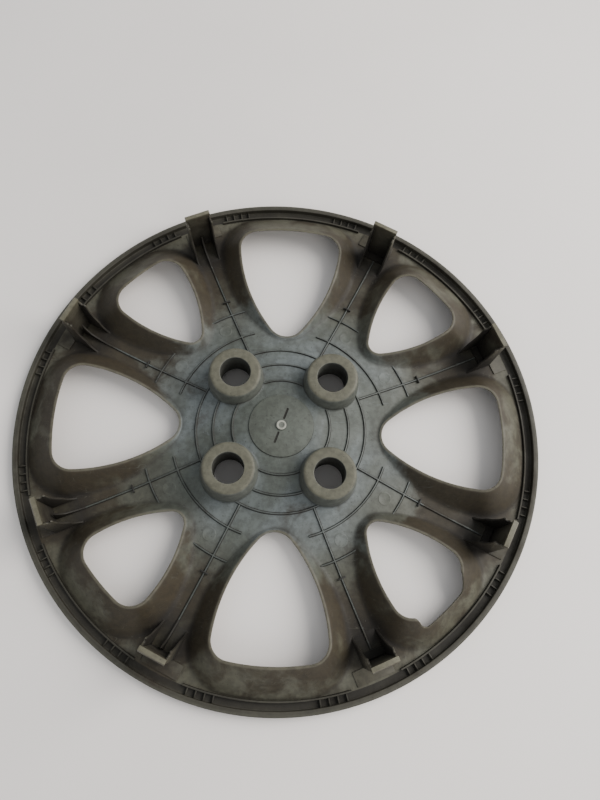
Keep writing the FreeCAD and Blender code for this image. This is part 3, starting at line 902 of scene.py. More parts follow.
@dataclass
class Hub:
    """Sleeves over the wheel bolts, the centre disc with its gate stub, and the ejector marks."""

    dish: Dish = Dish()
    lug_circle: float = 50.0
    bore: float = 11.0
    base: float = 20.5
    mouth: float = 18.8
    bottom: float = 10.0
    shoulder: float = 22.6
    top: float = 33.7
    sleeve_steps: int = 96
    disc_radius: float = 23.5
    disc_rise: float = 0.8
    slot_width: float = 1.6
    slot_length: float = 9.0
    slot_place: float = 9.5
    slot_depth: float = 0.55
    slot_turn: float = 72.0
    pip_radius: float = 3.6
    pip_rise: float = 1.4
    mark_radius: float = 5.0
    mark_place: float = 91.0
    mark_turn: float = 14.0
    mark_rise: float = 0.11
    disc_steps: int = 128
    pip_steps: int = 40
    mark_steps: int = 40

    def sleeve(self, k: int, material: Material) -> Object:
        """One sleeve: straight foot, drafted neck, rounded mouth and a bore right through.

        Args:
            k: Which one, counted from 0.
            material: Its finish.

        Returns:
            The piece.
        """
        bm = bmesh.new()
        prepare(bm)
        centre = polar(self.lug_circle, diagonal(k), 0.0)
        profile = rounded([
            (self.bore, self.bottom, 0.5), (self.base, self.bottom, 0.5), (self.base, self.shoulder, 1.8),
            (self.mouth, self.top, 2.6), (self.bore, self.top, 0.7)], 6)
        turn_profile(bm, profile, centre, self.sleeve_steps)

        def lightened(place: Vector) -> float:
            """Wear on the end face and a little way down the outside."""
            reach = (place - centre).xy.length
            return smoothstep(self.top - 1.8, self.top - 0.3, place.z) * smoothstep(
                self.bore - 0.2, self.bore + 0.7, reach)

        def darkening(place: Vector) -> float:
            """Darker inside the bore and round the foot.

            Args:
                place: A point of the sleeve.

            Returns:
                The amount.
            """
            reach = (place - centre).xy.length
            inside = 1.0 - smoothstep(self.bore, self.bore + 0.5, reach)
            foot = 1.0 - smoothstep(0.0, 7.0, place.z - self.dish.height(place.xy.length))
            return max(0.7 * inside, 0.6 * foot)

        paint(bm, Layer.WEAR_AND_HIGHLIGHT, lightened)
        paint(bm, Layer.GRIME_AND_SHADE, darkening)
        return finish_piece(bm, f"bolt_sleeve_{k + 1}", COVER, [f"lug_sleeve_{k + 1}"], material)

    def slot_ring(self, side: int, steps: int = 8) -> list[Vector]:
        """The round-ended outline of one slot, level with the disc's face.

        Args:
            side: 1 or -1, the side of the centre.
            steps: Number of stretches round each end.

        Returns:
            Its points.
        """
        half, reach = self.slot_width / 2, (self.slot_length - self.slot_width) / 2
        points = []
        for end, start in ((1, -90.0), (-1, 90.0)):
            for n in range(steps + 1):
                angle = math.radians(start + 180.0 * n / steps)
                points.append(Vector((side * self.slot_place + end * reach, 0.0, 0.0))
                              + polar(half, angle, 0.0))
        swing = Matrix.Rotation(math.radians(self.slot_turn), 3, "Z")
        level = Vector((0.0, 0.0, self.dish.heights[0] + self.disc_rise))
        return [swing @ point + level for point in points]

    def disc(self, material: Material) -> Object:
        """The raised disc, with a plain slot on each side of its centre.

        Args:
            material: Its finish.

        Returns:
            The piece.
        """
        bm = bmesh.new()
        prepare(bm)
        level, face = self.dish.heights[0], self.dish.heights[0] + self.disc_rise
        steps = self.disc_steps
        rows = [(self.disc_radius + 0.2, level - 0.3), (self.disc_radius, level + 0.35),
                (self.disc_radius - 0.15, face - 0.12), (self.disc_radius - 0.5, face)]
        rings = loft(bm, [[polar(r, math.tau * n / steps, z) for n in range(steps)] for r, z in rows],
                     caps=False)
        bmesh.ops.edgeloop_fill(bm, edges=ring_edges(rings[0]))
        edges = ring_edges(rings[-1])
        for side in (1, -1):
            outline = self.slot_ring(side)
            deep = Vector((0.0, 0.0, -self.slot_depth))
            slot = loft(bm, [outline, [p + deep * 0.25 for p in outline], [p + deep for p in outline]],
                        caps=False)
            bmesh.ops.edgeloop_fill(bm, edges=ring_edges(slot[-1]))
            edges += ring_edges(slot[0])
            for vert in slot[-1] + slot[1]:
                vert[bm.verts.layers.float[Layer.GRIME_AND_SHADE.value]] = 1.0
        bmesh.ops.triangle_fill(bm, use_beauty=True, use_dissolve=False, edges=edges, normal=(0, 0, 1))
        for vert in rings[0] + rings[1]:
            vert[bm.verts.layers.float[Layer.GRIME_AND_SHADE.value]] = 0.8
        return finish_piece(bm, "hub_disc", COVER, ["centre_disc"], material)

    def pip(self, material: Material) -> Object:
        """The pale stub of the moulding gate, with a dimple.

        Args:
            material: Its finish.

        Returns:
            The piece.
        """
        bm = bmesh.new()
        prepare(bm)
        foot = self.dish.heights[0] + self.disc_rise
        top = foot + self.pip_rise
        profile = rounded([(0.01, foot - 0.3, 0.0), (self.pip_radius + 0.2, foot - 0.1, 0.0),
                           (self.pip_radius, top, 0.5), (self.pip_radius - 1.3, top, 0.3),
                           (self.pip_radius - 1.6, top - 0.45, 0.2), (0.01, top - 0.45, 0.0)], 3)
        turn_profile(bm, profile, Vector((0.0, 0.0, 0.0)), self.pip_steps)
        paint(bm, Layer.WEAR_AND_HIGHLIGHT, lambda p: smoothstep(top - 0.9, top, p.z))
        paint(bm, Layer.GRIME_AND_SHADE, lambda p: 1.0 - smoothstep(foot, foot + 0.8, p.z))
        return finish_piece(bm, "gate_stub", COVER, ["gate_pip"], material)

    def ejector_marks(self, material: Material) -> Object:
        """Low round marks that the mould's ejector pins leave at the roots of the spokes.

        Args:
            material: Its finish.

        Returns:
            The piece.
        """
        bm = bmesh.new()
        prepare(bm)
        steps = self.mark_steps
        for k in range(QUARTERS):
            for side in (1, -1):
                centre = polar(self.mark_place, diagonal(k) + side * math.radians(self.mark_turn), 0.0)
                rows = [(self.mark_radius + 0.25, -0.2), (self.mark_radius, 0.0),
                        (self.mark_radius - 0.2, self.mark_rise), (self.mark_radius - 0.75, self.mark_rise),
                        (self.mark_radius - 1.0, 0.04), (0.3, 0.04)]
                loft(bm, [[self.dish.drop(centre + polar(r, math.tau * n / steps, 0.0), rise=z)
                           for n in range(steps)] for r, z in rows])
        paint(bm, Layer.GRIME_AND_SHADE, lambda p: 0.4 if p.z < self.dish.height(p.xy.length) + 0.02 else 0.12)
        return finish_piece(bm, "ejector_marks", COVER, [], material)


# ------------------------------------------------------------------ ribs


@dataclass
class Ribs:
    """The low stiffening ribs on the wheel side: rings, arcs, cross ribs and spoke ribs."""

    dish: Dish = Dish()
    width: float = 1.1
    rise: float = 1.3
    flare: float = 0.45
    sink: float = 0.35
    step: float = 2.0
    sleeve_reach: float = 20.6
    lug_circle: float = 50.0
    rings: tuple[tuple[str, float], ...] = (("small", 35.6), ("middle", 49.7), ("large", 62.3))
    arc_radius: float = 80.3
    arc_half: float = 27.7
    cross_radius: float = 102.0
    cross_near: float = 10.6
    cross_far: float = 26.0
    spoke_start: float = 63.0
    spoke_end: float = 165.8
    nub_place: float = 114.6
    nub_span: float = 6.0
    nub_rise: float = 2.4
    nub_round: float = 0.3
    overlap: float = 0.01

    def section(self) -> list[tuple[float, float]]:
        """Cross-section of a rib: rounded top, and a foot that flares into the skin.

        Returns:
            Across and up of each corner.
        """
        half = self.width / 2
        return rounded([
            (-half - self.flare, -self.sink, 0.0), (half + self.flare, -self.sink, 0.0),
            (half + self.flare, 0.02, 0.0), (half + 0.02, 0.3, 0.5), (half - 0.08, self.rise, 0.4),
            (0.08 - half, self.rise, 0.4), (-half - 0.02, 0.3, 0.5), (-half - self.flare, 0.02, 0.0)], 2)

    def colour(self, bm: BMesh) -> None:
        """Painted shadow and dirt along the ribs' feet, and a painted highlight with a little wear along
        their tops.

        Args:
            bm: The mesh.
        """
        def height(place: Vector) -> float:
            """Height above the skin."""
            return place.z - self.dish.height(place.xy.length)

        def on_nub(place: Vector) -> float:
            """1 on the cross nub, which stands above the rib."""
            return smoothstep(self.rise + 0.15, self.rise + 0.4, height(place))

        # Painted shadow and dirt at the feet; the cross nub is dark all over.
        paint(bm, Layer.GRIME_AND_SHADE, lambda p: max(on_nub(p), 1.0 - 0.75 * smoothstep(0.3, self.rise, height(p))))
        # A painted highlight with a little wear along the tops.
        paint(bm, Layer.WEAR_AND_HIGHLIGHT, lambda p: (0.35 - 0.35 * on_nub(p)) * smoothstep(
            self.rise - 0.25, self.rise, height(p)))

    def round_rib(self, bm: BMesh, radius: float, start: float, stop: float) -> None:
        """One stretch of a round rib between two angles in radians.

        Args:
            bm: The mesh.
            radius: Distance from the axis.
            start: First angle.
            stop: Last angle.
        """
        steps = max(2, round((stop - start) * radius / self.step))
        stations = []
        for n in range(steps + 1):
            angle = mix(start, stop, n / steps)
            stations.append([polar(radius + across, angle, self.dish.height(radius + across) + up)
                             for across, up in self.section()])
        loft(bm, stations)

    def ring(self, label: str, radius: float, material: Material) -> Object:
        """A ring of four stretches, each from sleeve to sleeve.

        Args:
            label: Its size, as the piece's name gives it.
            radius: Distance from the axis.
            material: Its finish.

        Returns:
            The piece.
        """
        bm = bmesh.new()
        prepare(bm)
        cosine = (radius ** 2 + self.lug_circle ** 2 - self.sleeve_reach ** 2) / (
            2 * radius * self.lug_circle)
        hidden = math.acos(cosine)
        for k in range(QUARTERS):
            start, stop = diagonal(k) + hidden, diagonal(k) + math.pi / 2 - hidden
            self.round_rib(bm, radius, start - self.overlap, stop + self.overlap)
        self.colour(bm)
        return finish_piece(bm, f"ring_rib_{label}", COVER, [f"hub_ring_{label}"], material)

    def arcs(self, material: Material) -> Object:
        """The arcs across the feet of the spokes.

        Args:
            material: Its finish.

        Returns:
            The piece.
        """
        bm = bmesh.new()
        prepare(bm)
        half = math.radians(self.arc_half)
        for k in range(QUARTERS):
            self.round_rib(bm, self.arc_radius, diagonal(k) - half, diagonal(k) + half)
        self.colour(bm)
        return finish_piece(bm, "arc_ribs", COVER, ["spoke_arc_ribs"], material)

    def crosses(self, material: Material) -> Object:
        """The short rib across each spoke.

        Args:
            material: Its finish.

        Returns:
            The piece.
        """
        bm = bmesh.new()
        prepare(bm)
        near, far = math.radians(self.cross_near), math.radians(self.cross_far)
        for k in range(QUARTERS):
            self.round_rib(bm, self.cross_radius, diagonal(k) + near, diagonal(k) + far)
            self.round_rib(bm, self.cross_radius, diagonal(k) - far, diagonal(k) - near)
        self.colour(bm)
        return finish_piece(bm, "cross_ribs", COVER, ["spoke_cross_ribs"], material)

    def spoke(self, k: int, material: Material) -> Object:
        """The rib down the middle of one spoke, with its small cross nub.

        Args:
            k: Which one, counted from 0.
            material: Its finish.

        Returns:
            The piece.
        """
        bm = bmesh.new()
        prepare(bm)
        swing = Matrix.Rotation(spoke_angle(k), 3, "Z")
        steps = round((self.spoke_end - self.spoke_start) / self.step)
        stations = []
        for n in range(steps + 1):
            radius = mix(self.spoke_start, self.spoke_end, n / steps)
            stations.append([swing @ Vector((radius, across, self.dish.height(radius) + up))
                             for across, up in self.section()])
        loft(bm, stations)
        middle = Vector((self.nub_place, 0.0, self.dish.height(self.nub_place) + self.nub_rise / 2 - 0.1))
        place = (Matrix.Rotation(spoke_angle(k), 4, "Z") @ Matrix.Translation(middle)
                 @ Matrix.Diagonal((self.width, self.nub_span, self.nub_rise + 0.3, 1.0)))
        cube = bmesh.ops.create_cube(bm, size=1.0, matrix=place)["verts"]
        edges = {edge for vert in cube for edge in vert.link_edges}
        bmesh.ops.bevel(bm, geom=list(edges), offset=self.nub_round, segments=2, profile=0.5,
                        affect="EDGES", material=-1, offset_type="OFFSET")
        self.colour(bm)
        return finish_piece(bm, f"spoke_rib_line_{k + 1}", COVER, [f"spoke_rib_{k + 1}"], material)


# ------------------------------------------------------------------ clips


@dataclass
class Clip:
    """A retaining clip: a fixed cage on the rim, and a springing tongue inside it."""

    index: int
    dish: Dish = Dish()
    width: float = 19.2
    face: float = 174.3
    top: float = 43.6
    tongue_wall: float = 2.9
    cheek_wall: float = 1.4
    cheek_top: float = 39.3
    toe: float = 153.5
    gap: float = 0.3
    lip_under: float = 40.3
    barb: float = 1.1
    barb_drop: float = 1.8
    relief: float = 0.7
    plinth: tuple[float, float] = (165.6, 170.7)
    plinth_rise: float = 3.0
    plate_rise: float = 0.8
    plate_end: float = 184.2
    plate_side: float = 18.0
    seat: tuple[float, float, float] = (168.7, 1.7, 1.6)
    finned: tuple[int, ...] = (2, 3, 4, 5)
    fin_start: float = 149.0
    fin_top: tuple[float, float] = (169.5, 18.5)
    edge: float = 0.3
    shoulder: tuple[float, float] = (0.4, 1.0)
    knee: tuple[float, float] = (5.2, 15.5)
    plate_beyond: float = 0.6
    fin_knee: tuple[float, float] = (163.0, 8.2)
    fin_lean: float = 1.3
    fin_end: float = 170.9
    fin_foot: float = 3.7
    fin_half: float = 0.6
    fin_edge: float = 0.2
    stem_edge: float = 0.25

    def swing(self) -> Matrix:
        """The turn that brings the X axis onto this clip's spoke."""
        return Matrix.Rotation(spoke_angle(self.index), 3, "Z")

    def slab(self, bm: BMesh, outline: Sequence[Vector], low: float, high: float, edge: float) -> None:
        """A plate between two distances across the spoke, with softened edges.

        Args:
            bm: The mesh.
            outline: Radius and height of its corners.
            low: Where it starts across the spoke.
            high: Where it ends.
            edge: How far its edges are rounded.
        """
        swing = self.swing()
        rings = loft(bm, [[swing @ Vector((p.x, across, p.y)) for p in outline]
                          for across in (low, high)])
        rims = [e for ring in rings for e in ring_edges(ring)]
        bmesh.ops.bevel(bm, geom=rims, offset=edge, segments=2, profile=0.5, affect="EDGES",
                        material=-1, offset_type="OFFSET", clamp_overlap=True)

    def cheek_outline(self) -> list[Vector]:
        """The side view of a cheek: a long curved toe, a rounded shoulder and a notch at the top.

        Returns:
            Radius and height of its corners.
        """
        floor = self.dish.skin - 0.2
        place, radius, bulge = self.seat
        shoulder = Vector((self.plinth[0] + self.shoulder[0], self.cheek_top - self.shoulder[1]))
        knee = Vector((self.plinth[0] - self.knee[0], self.knee[1]))
        toe = Vector((self.toe, floor))
        seat_out, seat_in = Vector((place + radius, self.cheek_top)), Vector((place - radius, self.cheek_top))
        points = [Vector((self.face, floor)), Vector((self.face, self.cheek_top))]
        points += bow(seat_out, seat_in, bulge)
        points += [seat_in]
        points += bow(shoulder, knee, bulge, 8)
        points += bow(knee, toe, bulge, 6)
        return points + [toe]

    def cage(self, material: Material) -> Object:
        """Two cheeks, the plinth or the fin between them, and the base plate.

        Args:
            material: Its finish.

        Returns:
            The piece.
        """
        bm = bmesh.new()
        prepare(bm)
        half = self.width / 2
        for low, high in ((-half, self.cheek_wall - half), (half - self.cheek_wall, half)):
            self.slab(bm, self.cheek_outline(), low, high, self.edge)
        floor = self.dish.skin
        low, high = self.plinth
        rise = floor + self.plinth_rise
        block = [Vector(p) for p in ((low, floor - 0.2), (high, floor - 0.2), (high, rise), (low, rise))]
        if self.index not in self.finned:
            self.slab(bm, block, self.cheek_wall / 2 - half, half - self.cheek_wall / 2, self.edge)
        wide = -1 if self.index % 2 == 0 else 1
        ends = sorted((wide * self.plate_side, -wide * half))
        beyond = self.face + self.plate_beyond
        plate = [Vector(p) for p in ((self.toe, floor - 0.3), (beyond, floor - 0.3),
                                     (beyond, floor + 0.5), (self.toe, floor + 0.1))]
        self.slab(bm, plate, -half + 0.4, half - 0.4, self.edge)
        foot = [Vector(p) for p in ((self.face - 0.2, floor - 0.2), (self.plate_end, floor - 0.2),
                                    (self.plate_end, floor + self.plate_rise),
                                    (self.face - 0.2, floor + self.plate_rise))]
        self.slab(bm, foot, ends[0], ends[1], self.edge)
        if self.index in self.finned:
            self.fin(bm)
        outside = self.face - 0.5

        def darkening(place: Vector) -> float:
            """Painted shade makes the inside of the cage black and the lower parts of its outsides darker,
            over its grime; the foot outside it is as clean as the rim.

            Args:
                place: A point of the cage.

            Returns:
                The amount.
            """
            if place.xy.length > outside + 0.8 and place.z < floor + 1.5:
                return 0.3
            across = abs((self.swing().inverted() @ place).y)
            facing_in = 1.0 - smoothstep(half - self.cheek_wall, half - 0.3, across)
            return mix(0.95 - 0.6 * smoothstep(10.0, self.cheek_top, place.z), 1.0, facing_in)

        paint(bm, Layer.GRIME_AND_SHADE, darkening)
        paint(bm, Layer.WEAR_AND_HIGHLIGHT, lambda p: 0.5 * smoothstep(self.cheek_top - 1.0, self.cheek_top, p.z))
        return finish_piece(bm, f"clip_cage_{self.index + 1}", COVER,
                            [f"clip_frame_{self.index + 1}"], material)

    def fin(self, bm: BMesh) -> None:
        """The spoke's rib running on up towards the tongue; its end leans clear of the tongue's swing.

        Args:
            bm: The mesh.
        """
        floor = self.dish.skin - 0.2
        knee, foot = Vector(self.fin_knee), Vector((self.fin_start, self.fin_foot))
        crest = Vector((self.fin_top[0] - self.fin_lean, self.fin_top[1]))
        outline = [Vector((self.fin_end, floor)), Vector((self.fin_end, self.plinth_rise + self.dish.skin)),
                   Vector(self.fin_top)]
        outline += bow(crest, knee, 0.7, 6) + bow(knee, foot, 0.5, 5)
        outline += [foot, Vector((self.fin_start, floor))]
        self.slab(bm, outline, -self.fin_half, self.fin_half, self.fin_edge)

    def tongue(self, material: Material) -> Object:
        """The narrow stem and its full-width lip with an outer barb.

        Args:
            material: Its finish.

        Returns:
            The piece.
        """
        bm = bmesh.new()
        prepare(bm)
        inner = self.face - self.tongue_wall
        foot = self.dish.skin + self.plate_rise + self.gap
        half_stem = self.width / 2 - self.cheek_wall - self.gap
        back = self.face - self.relief
        stem = [Vector(p) for p in ((inner, foot), (back, foot), (back, self.lip_under + 0.3),
                                    (inner, self.lip_under + 0.3))]
        self.slab(bm, stem, -half_stem, half_stem, self.stem_edge)
        lip = [Vector(p) for p in ((inner, self.lip_under), (self.face, self.lip_under),
                                   (self.face + self.barb, self.top - self.barb_drop),
                                   (self.face, self.top), (inner, self.top))]
        self.slab(bm, lip, -self.width / 2, self.width / 2, self.edge)
        # Darker down the stem, lighter on the lip: painted shade inside the cage, with grime.
        paint(bm, Layer.GRIME_AND_SHADE, lambda p: 1.0 - smoothstep(self.lip_under - 3.0, self.top - 1.0, p.z))
        paint(bm, Layer.WEAR_AND_HIGHLIGHT, lambda p: smoothstep(self.top - 1.1, self.top - 0.2, p.z))
        return finish_piece(bm, f"clip_spring_{self.index + 1}", f"tongue_{self.index + 1}",
                            [f"clip_tongue_{self.index + 1}"], material)


# ------------------------------------------------------------------ finishes


def add_node(tree: NodeTree, kind: str, **settings: object) -> Node:
    """Make a node and set its properties.

    Args:
        tree: The node tree.
        kind: Its type.
        **settings: Its properties.

    Returns:
        The node.
    """
    node = tree.nodes.new(kind)
    for name, value in settings.items():
        setattr(node, name, value)
    return node


def feed(tree: NodeTree, socket: NodeSocket, value: object) -> None:
    """Link or set an input.

    Args:
        tree: The node tree.
        socket: The input.
        value: A socket to link, or what to set.
    """
    if isinstance(value, NodeSocket):
        tree.links.new(value, socket)
    elif isinstance(value, tuple) and len(value) == 3 and socket.type == "RGBA":
        socket.default_value = (*value, 1.0)
    else:
        socket.default_value = value


def maths(tree: NodeTree, operation: str, *values: object, clamp: bool = False) -> NodeSocket:
    """A Math node over sockets or numbers.

    Args:
        tree: The node tree.
        operation: What it does.
        *values: Sockets or numbers.
        clamp: Whether the result is kept from 0 to 1.

    Returns:
        Its result.
    """
    node = add_node(tree, "ShaderNodeMath", operation=operation, use_clamp=clamp)
    for socket, value in zip(node.inputs, values):
        feed(tree, socket, value)
    return node.outputs[0]


def blend_colour(tree: NodeTree, amount: object, first: object, second: object) -> NodeSocket:
    """A colour Mix node.

    Args:
        tree: The node tree.
        amount: Share of the second colour.
        first: Colour or socket.
        second: Colour or socket.

    Returns:
        The mixed colour.
    """
    node = add_node(tree, "ShaderNodeMix", data_type="RGBA")
    feed(tree, node.inputs[0], amount)
    feed(tree, node.inputs[6], first)
    feed(tree, node.inputs[7], second)
    return node.outputs[2]


def window_of(tree: NodeTree, value: object, low: float, high: float, first: float = 0.0,
              last: float = 1.0) -> NodeSocket:
    """A value mapped from one range to another, clamped and smoothed.

    Args:
        tree: The node tree.
        value: Socket to map.
        low: Value that gives first.
        high: Value that gives last.
        first: Result at low.
        last: Result at high.

    Returns:
        The mapped value.
    """
    node = add_node(tree, "ShaderNodeMapRange", interpolation_type="SMOOTHSTEP")
    for socket, number in zip(node.inputs, (value, low, high, first, last)):
        feed(tree, socket, number)
    return node.outputs[0]


def noise(tree: NodeTree, vector: NodeSocket, scale: float, detail: float, roughness: float = 0.5,
          distortion: float = 0.0) -> NodeSocket:
    """A noise texture's value.

    Args:
        tree: The node tree.
        vector: Where it is read.
        scale: How fine it is.
        detail: Number of finer layers.
        roughness: Weight of the finer layers.
        distortion: How far it is bent.

    Returns:
        The value.
    """
    node = add_node(tree, "ShaderNodeTexNoise")
    feed(tree, node.inputs["Vector"], vector)
    for name, number in (("Scale", scale), ("Detail", detail), ("Roughness", roughness),
                         ("Distortion", distortion)):
        node.inputs[name].default_value = number
    return node.outputs["Fac"]


def new_group(name: str, inputs: dict[str, str], outputs: dict[str, str]) -> tuple[NodeTree, Node, Node]:
    """An empty shader node group with named sockets.

    Args:
        name: The group's name.
        inputs: Socket types by name.
        outputs: Socket types by name.

    Returns:
        The group with its input and output nodes.
    """
    group = bpy.data.node_groups.new(name, "ShaderNodeTree")
    for direction, sockets in (("INPUT", inputs), ("OUTPUT", outputs)):
        for label, kind in sockets.items():
            group.interface.new_socket(label, in_out=direction, socket_type=kind)
    return group, group.nodes.new("NodeGroupInput"), group.nodes.new("NodeGroupOutput")


@dataclass(frozen=True)
class AgedPlasticGroup:
    """Colour, roughness and relief of moulded plastic that has spent years behind a wheel; its grime and wear
    inputs also bring painted shade and painted highlights.
    """

    name: str = "aged_plastic"
    cloud_scale: float = 14.0
    patch_scale: float = 46.0
    streak_scale: float = 28.0
    hair_scale: float = 36.0
    grit_scale: float = 240.0
    pit_scale: float = 620.0
    speck_scale: float = 900.0
    grain_scale: float = 2600.0

    def build(self) -> NodeTree:
        """Make the node group.

        Returns:
            The group.
        """
        colour, value = "NodeSocketColor", "NodeSocketFloat"
        group, start, end = new_group(
            self.name,
            {"Place": "NodeSocketVector", "Base": colour, "Film": colour, "Stain": colour,
             "Dirt And Shade": colour, "Lightened": colour, "Film Amount": value, "Stain Amount": value,
             "Grime And Shade": value, "Wear And Highlight": value, "Base Roughness": value},
            {"Color": colour, "Roughness": value, "Height": value})
        place = start.outputs["Place"]
        cloud = noise(group, place, self.cloud_scale, 5.0, 0.55, 0.6)
        patch = noise(group, place, self.patch_scale, 6.0, 0.6, 0.4)
        streak_place = add_node(group, "ShaderNodeMapping")
        feed(group, streak_place.inputs["Vector"], place)
        streak_place.inputs["Rotation"].default_value = (0.0, 0.0, 0.7)
        streak_place.inputs["Scale"].default_value = (1.0, 7.0, 1.0)
        streak = noise(group, streak_place.outputs[0], self.streak_scale, 4.0, 0.5, 0.5)
        grit = noise(group, place, self.grit_scale, 5.0, 0.65)
        speck = noise(group, place, self.speck_scale, 3.0, 0.7)
        grain = noise(group, place, self.grain_scale, 2.0, 0.6)

        film = maths(group, "MULTIPLY", window_of(group, cloud, 0.40, 0.62), start.outputs["Film Amount"])
        body = blend_colour(group, film, start.outputs["Base"], start.outputs["Film"])
        stain_noise = maths(group, "ADD", maths(group, "MULTIPLY", patch, 1.1),
                            maths(group, "MULTIPLY", cloud, 1.1))
        stain_push = maths(group, "ADD", stain_noise,
                           maths(group, "MULTIPLY", start.outputs["Stain Amount"], 0.55))
        stain = window_of(group, stain_push, 1.26, 1.58)
        stained = blend_colour(group, maths(group, "MULTIPLY", stain, 0.9), body, start.outputs["Stain"])
        # The grime input darkens towards the dark colour: grime, and painted shade at the rib and clip feet
        # and inside the clip cages.
        grime_and_shade_push = maths(group, "ADD", start.outputs["Grime And Shade"],
                          maths(group, "MULTIPLY", maths(group, "SUBTRACT", patch, 0.5), 0.9))
        dirt_and_shade = window_of(group, grime_and_shade_push, 0.12, 1.05)
        dirtied_and_shaded = blend_colour(group, maths(group, "MULTIPLY", dirt_and_shade, 0.92), stained, start.outputs["Dirt And Shade"])
        # The wear input lightens the colour: wear, and a painted highlight along the rib tops and window
        # lips.
        wear_and_highlight_push = maths(group, "ADD", start.outputs["Wear And Highlight"],
                          maths(group, "MULTIPLY", maths(group, "SUBTRACT", streak, 0.5), 0.7))
        lightened = maths(group, "MULTIPLY", window_of(group, wear_and_highlight_push, 0.25, 0.85), start.outputs["Wear And Highlight"],
                     clamp=True)
        rubbed_and_lit = blend_colour(group, lightened, dirtied_and_shaded, start.outputs["Lightened"])
        dust = window_of(group, speck, 0.66, 0.74, 0.0, 0.6)
        pit = window_of(group, noise(group, place, self.pit_scale, 2.0, 0.5), 0.28, 0.34, 0.45, 0.0)
        gritty = blend_colour(group, window_of(group, grit, 0.36, 0.62, 0.28, 0.0), rubbed_and_lit,
                              start.outputs["Dirt And Shade"])
        gritty = blend_colour(group, pit, gritty, start.outputs["Dirt And Shade"])
        dusted = blend_colour(group, dust, gritty, start.outputs["Film"])
        hair_place = add_node(group, "ShaderNodeMapping")
        feed(group, hair_place.inputs["Vector"], place)
        hair_place.inputs["Rotation"].default_value = (0.0, 0.0, 2.1)
        hair_place.inputs["Scale"].default_value = (1.0, 4.5, 1.0)
        hair = noise(group, hair_place.outputs[0], self.hair_scale, 1.0, 0.4, 1.2)
        line = maths(group, "ABSOLUTE", maths(group, "SUBTRACT", hair, 0.52))
        scratch = maths(group, "MULTIPLY", window_of(group, line, 0.0, 0.005, 1.0, 0.0),
                        window_of(group, patch, 0.46, 0.58))
        scratched = blend_colour(group, maths(group, "MULTIPLY", scratch, 0.45), dusted,
                                 start.outputs["Film"])
        feed(group, end.inputs["Color"], scratched)

        rough = maths(group, "ADD", start.outputs["Base Roughness"], maths(group, "MULTIPLY", dirt_and_shade, 0.14))
        uneven = maths(group, "MULTIPLY", maths(group, "SUBTRACT", patch, 0.5), 0.35)
        rough = maths(group, "ADD", rough, uneven)
        rough = maths(group, "ADD", rough, maths(group, "MULTIPLY", film, 0.10), clamp=True)
        feed(group, end.inputs["Roughness"], rough)
        relief = maths(group, "ADD", maths(group, "MULTIPLY", grain, 0.35),
                       maths(group, "MULTIPLY", speck, 0.5))
        relief = maths(group, "ADD", relief, maths(group, "MULTIPLY", grit, 0.8))
        relief = maths(group, "SUBTRACT", relief, maths(group, "MULTIPLY", scratch, 0.5))
        feed(group, end.inputs["Height"], relief)
        return group


@dataclass(frozen=True)
class RadialShadeGroup:
    """Masks that follow the distance from the cover's axis."""

    name: str = "radial_shade"
    wobble_scale: float = 22.0
    wobble_depth: float = 0.05

    def build(self) -> NodeTree:
        """Make the node group.

        Returns:
            The group.
        """
        value = "NodeSocketFloat"
        group, start, end = new_group(
            self.name, {"Place": "NodeSocketVector", "From": value, "To": value}, {"Mask": value})
        flat = add_node(group, "ShaderNodeVectorMath", operation="MULTIPLY")
        feed(group, flat.inputs[0], start.outputs["Place"])
        flat.inputs[1].default_value = (1.0, 1.0, 0.0)
        length = add_node(group, "ShaderNodeVectorMath", operation="LENGTH")
        feed(group, length.inputs[0], flat.outputs[0])
        uneven = noise(group, start.outputs["Place"], self.wobble_scale, 3.0)
        wobble = maths(group, "MULTIPLY", maths(group, "SUBTRACT", uneven, 0.5), self.wobble_depth)
        radius = maths(group, "ADD", length.outputs["Value"], wobble)
        node = add_node(group, "ShaderNodeMapRange", interpolation_type="SMOOTHSTEP")
        for socket, source in zip(node.inputs, (radius, start.outputs["From"], start.outputs["To"])):
            feed(group, socket, source)
        feed(group, end.inputs["Mask"], node.outputs[0])
        return group


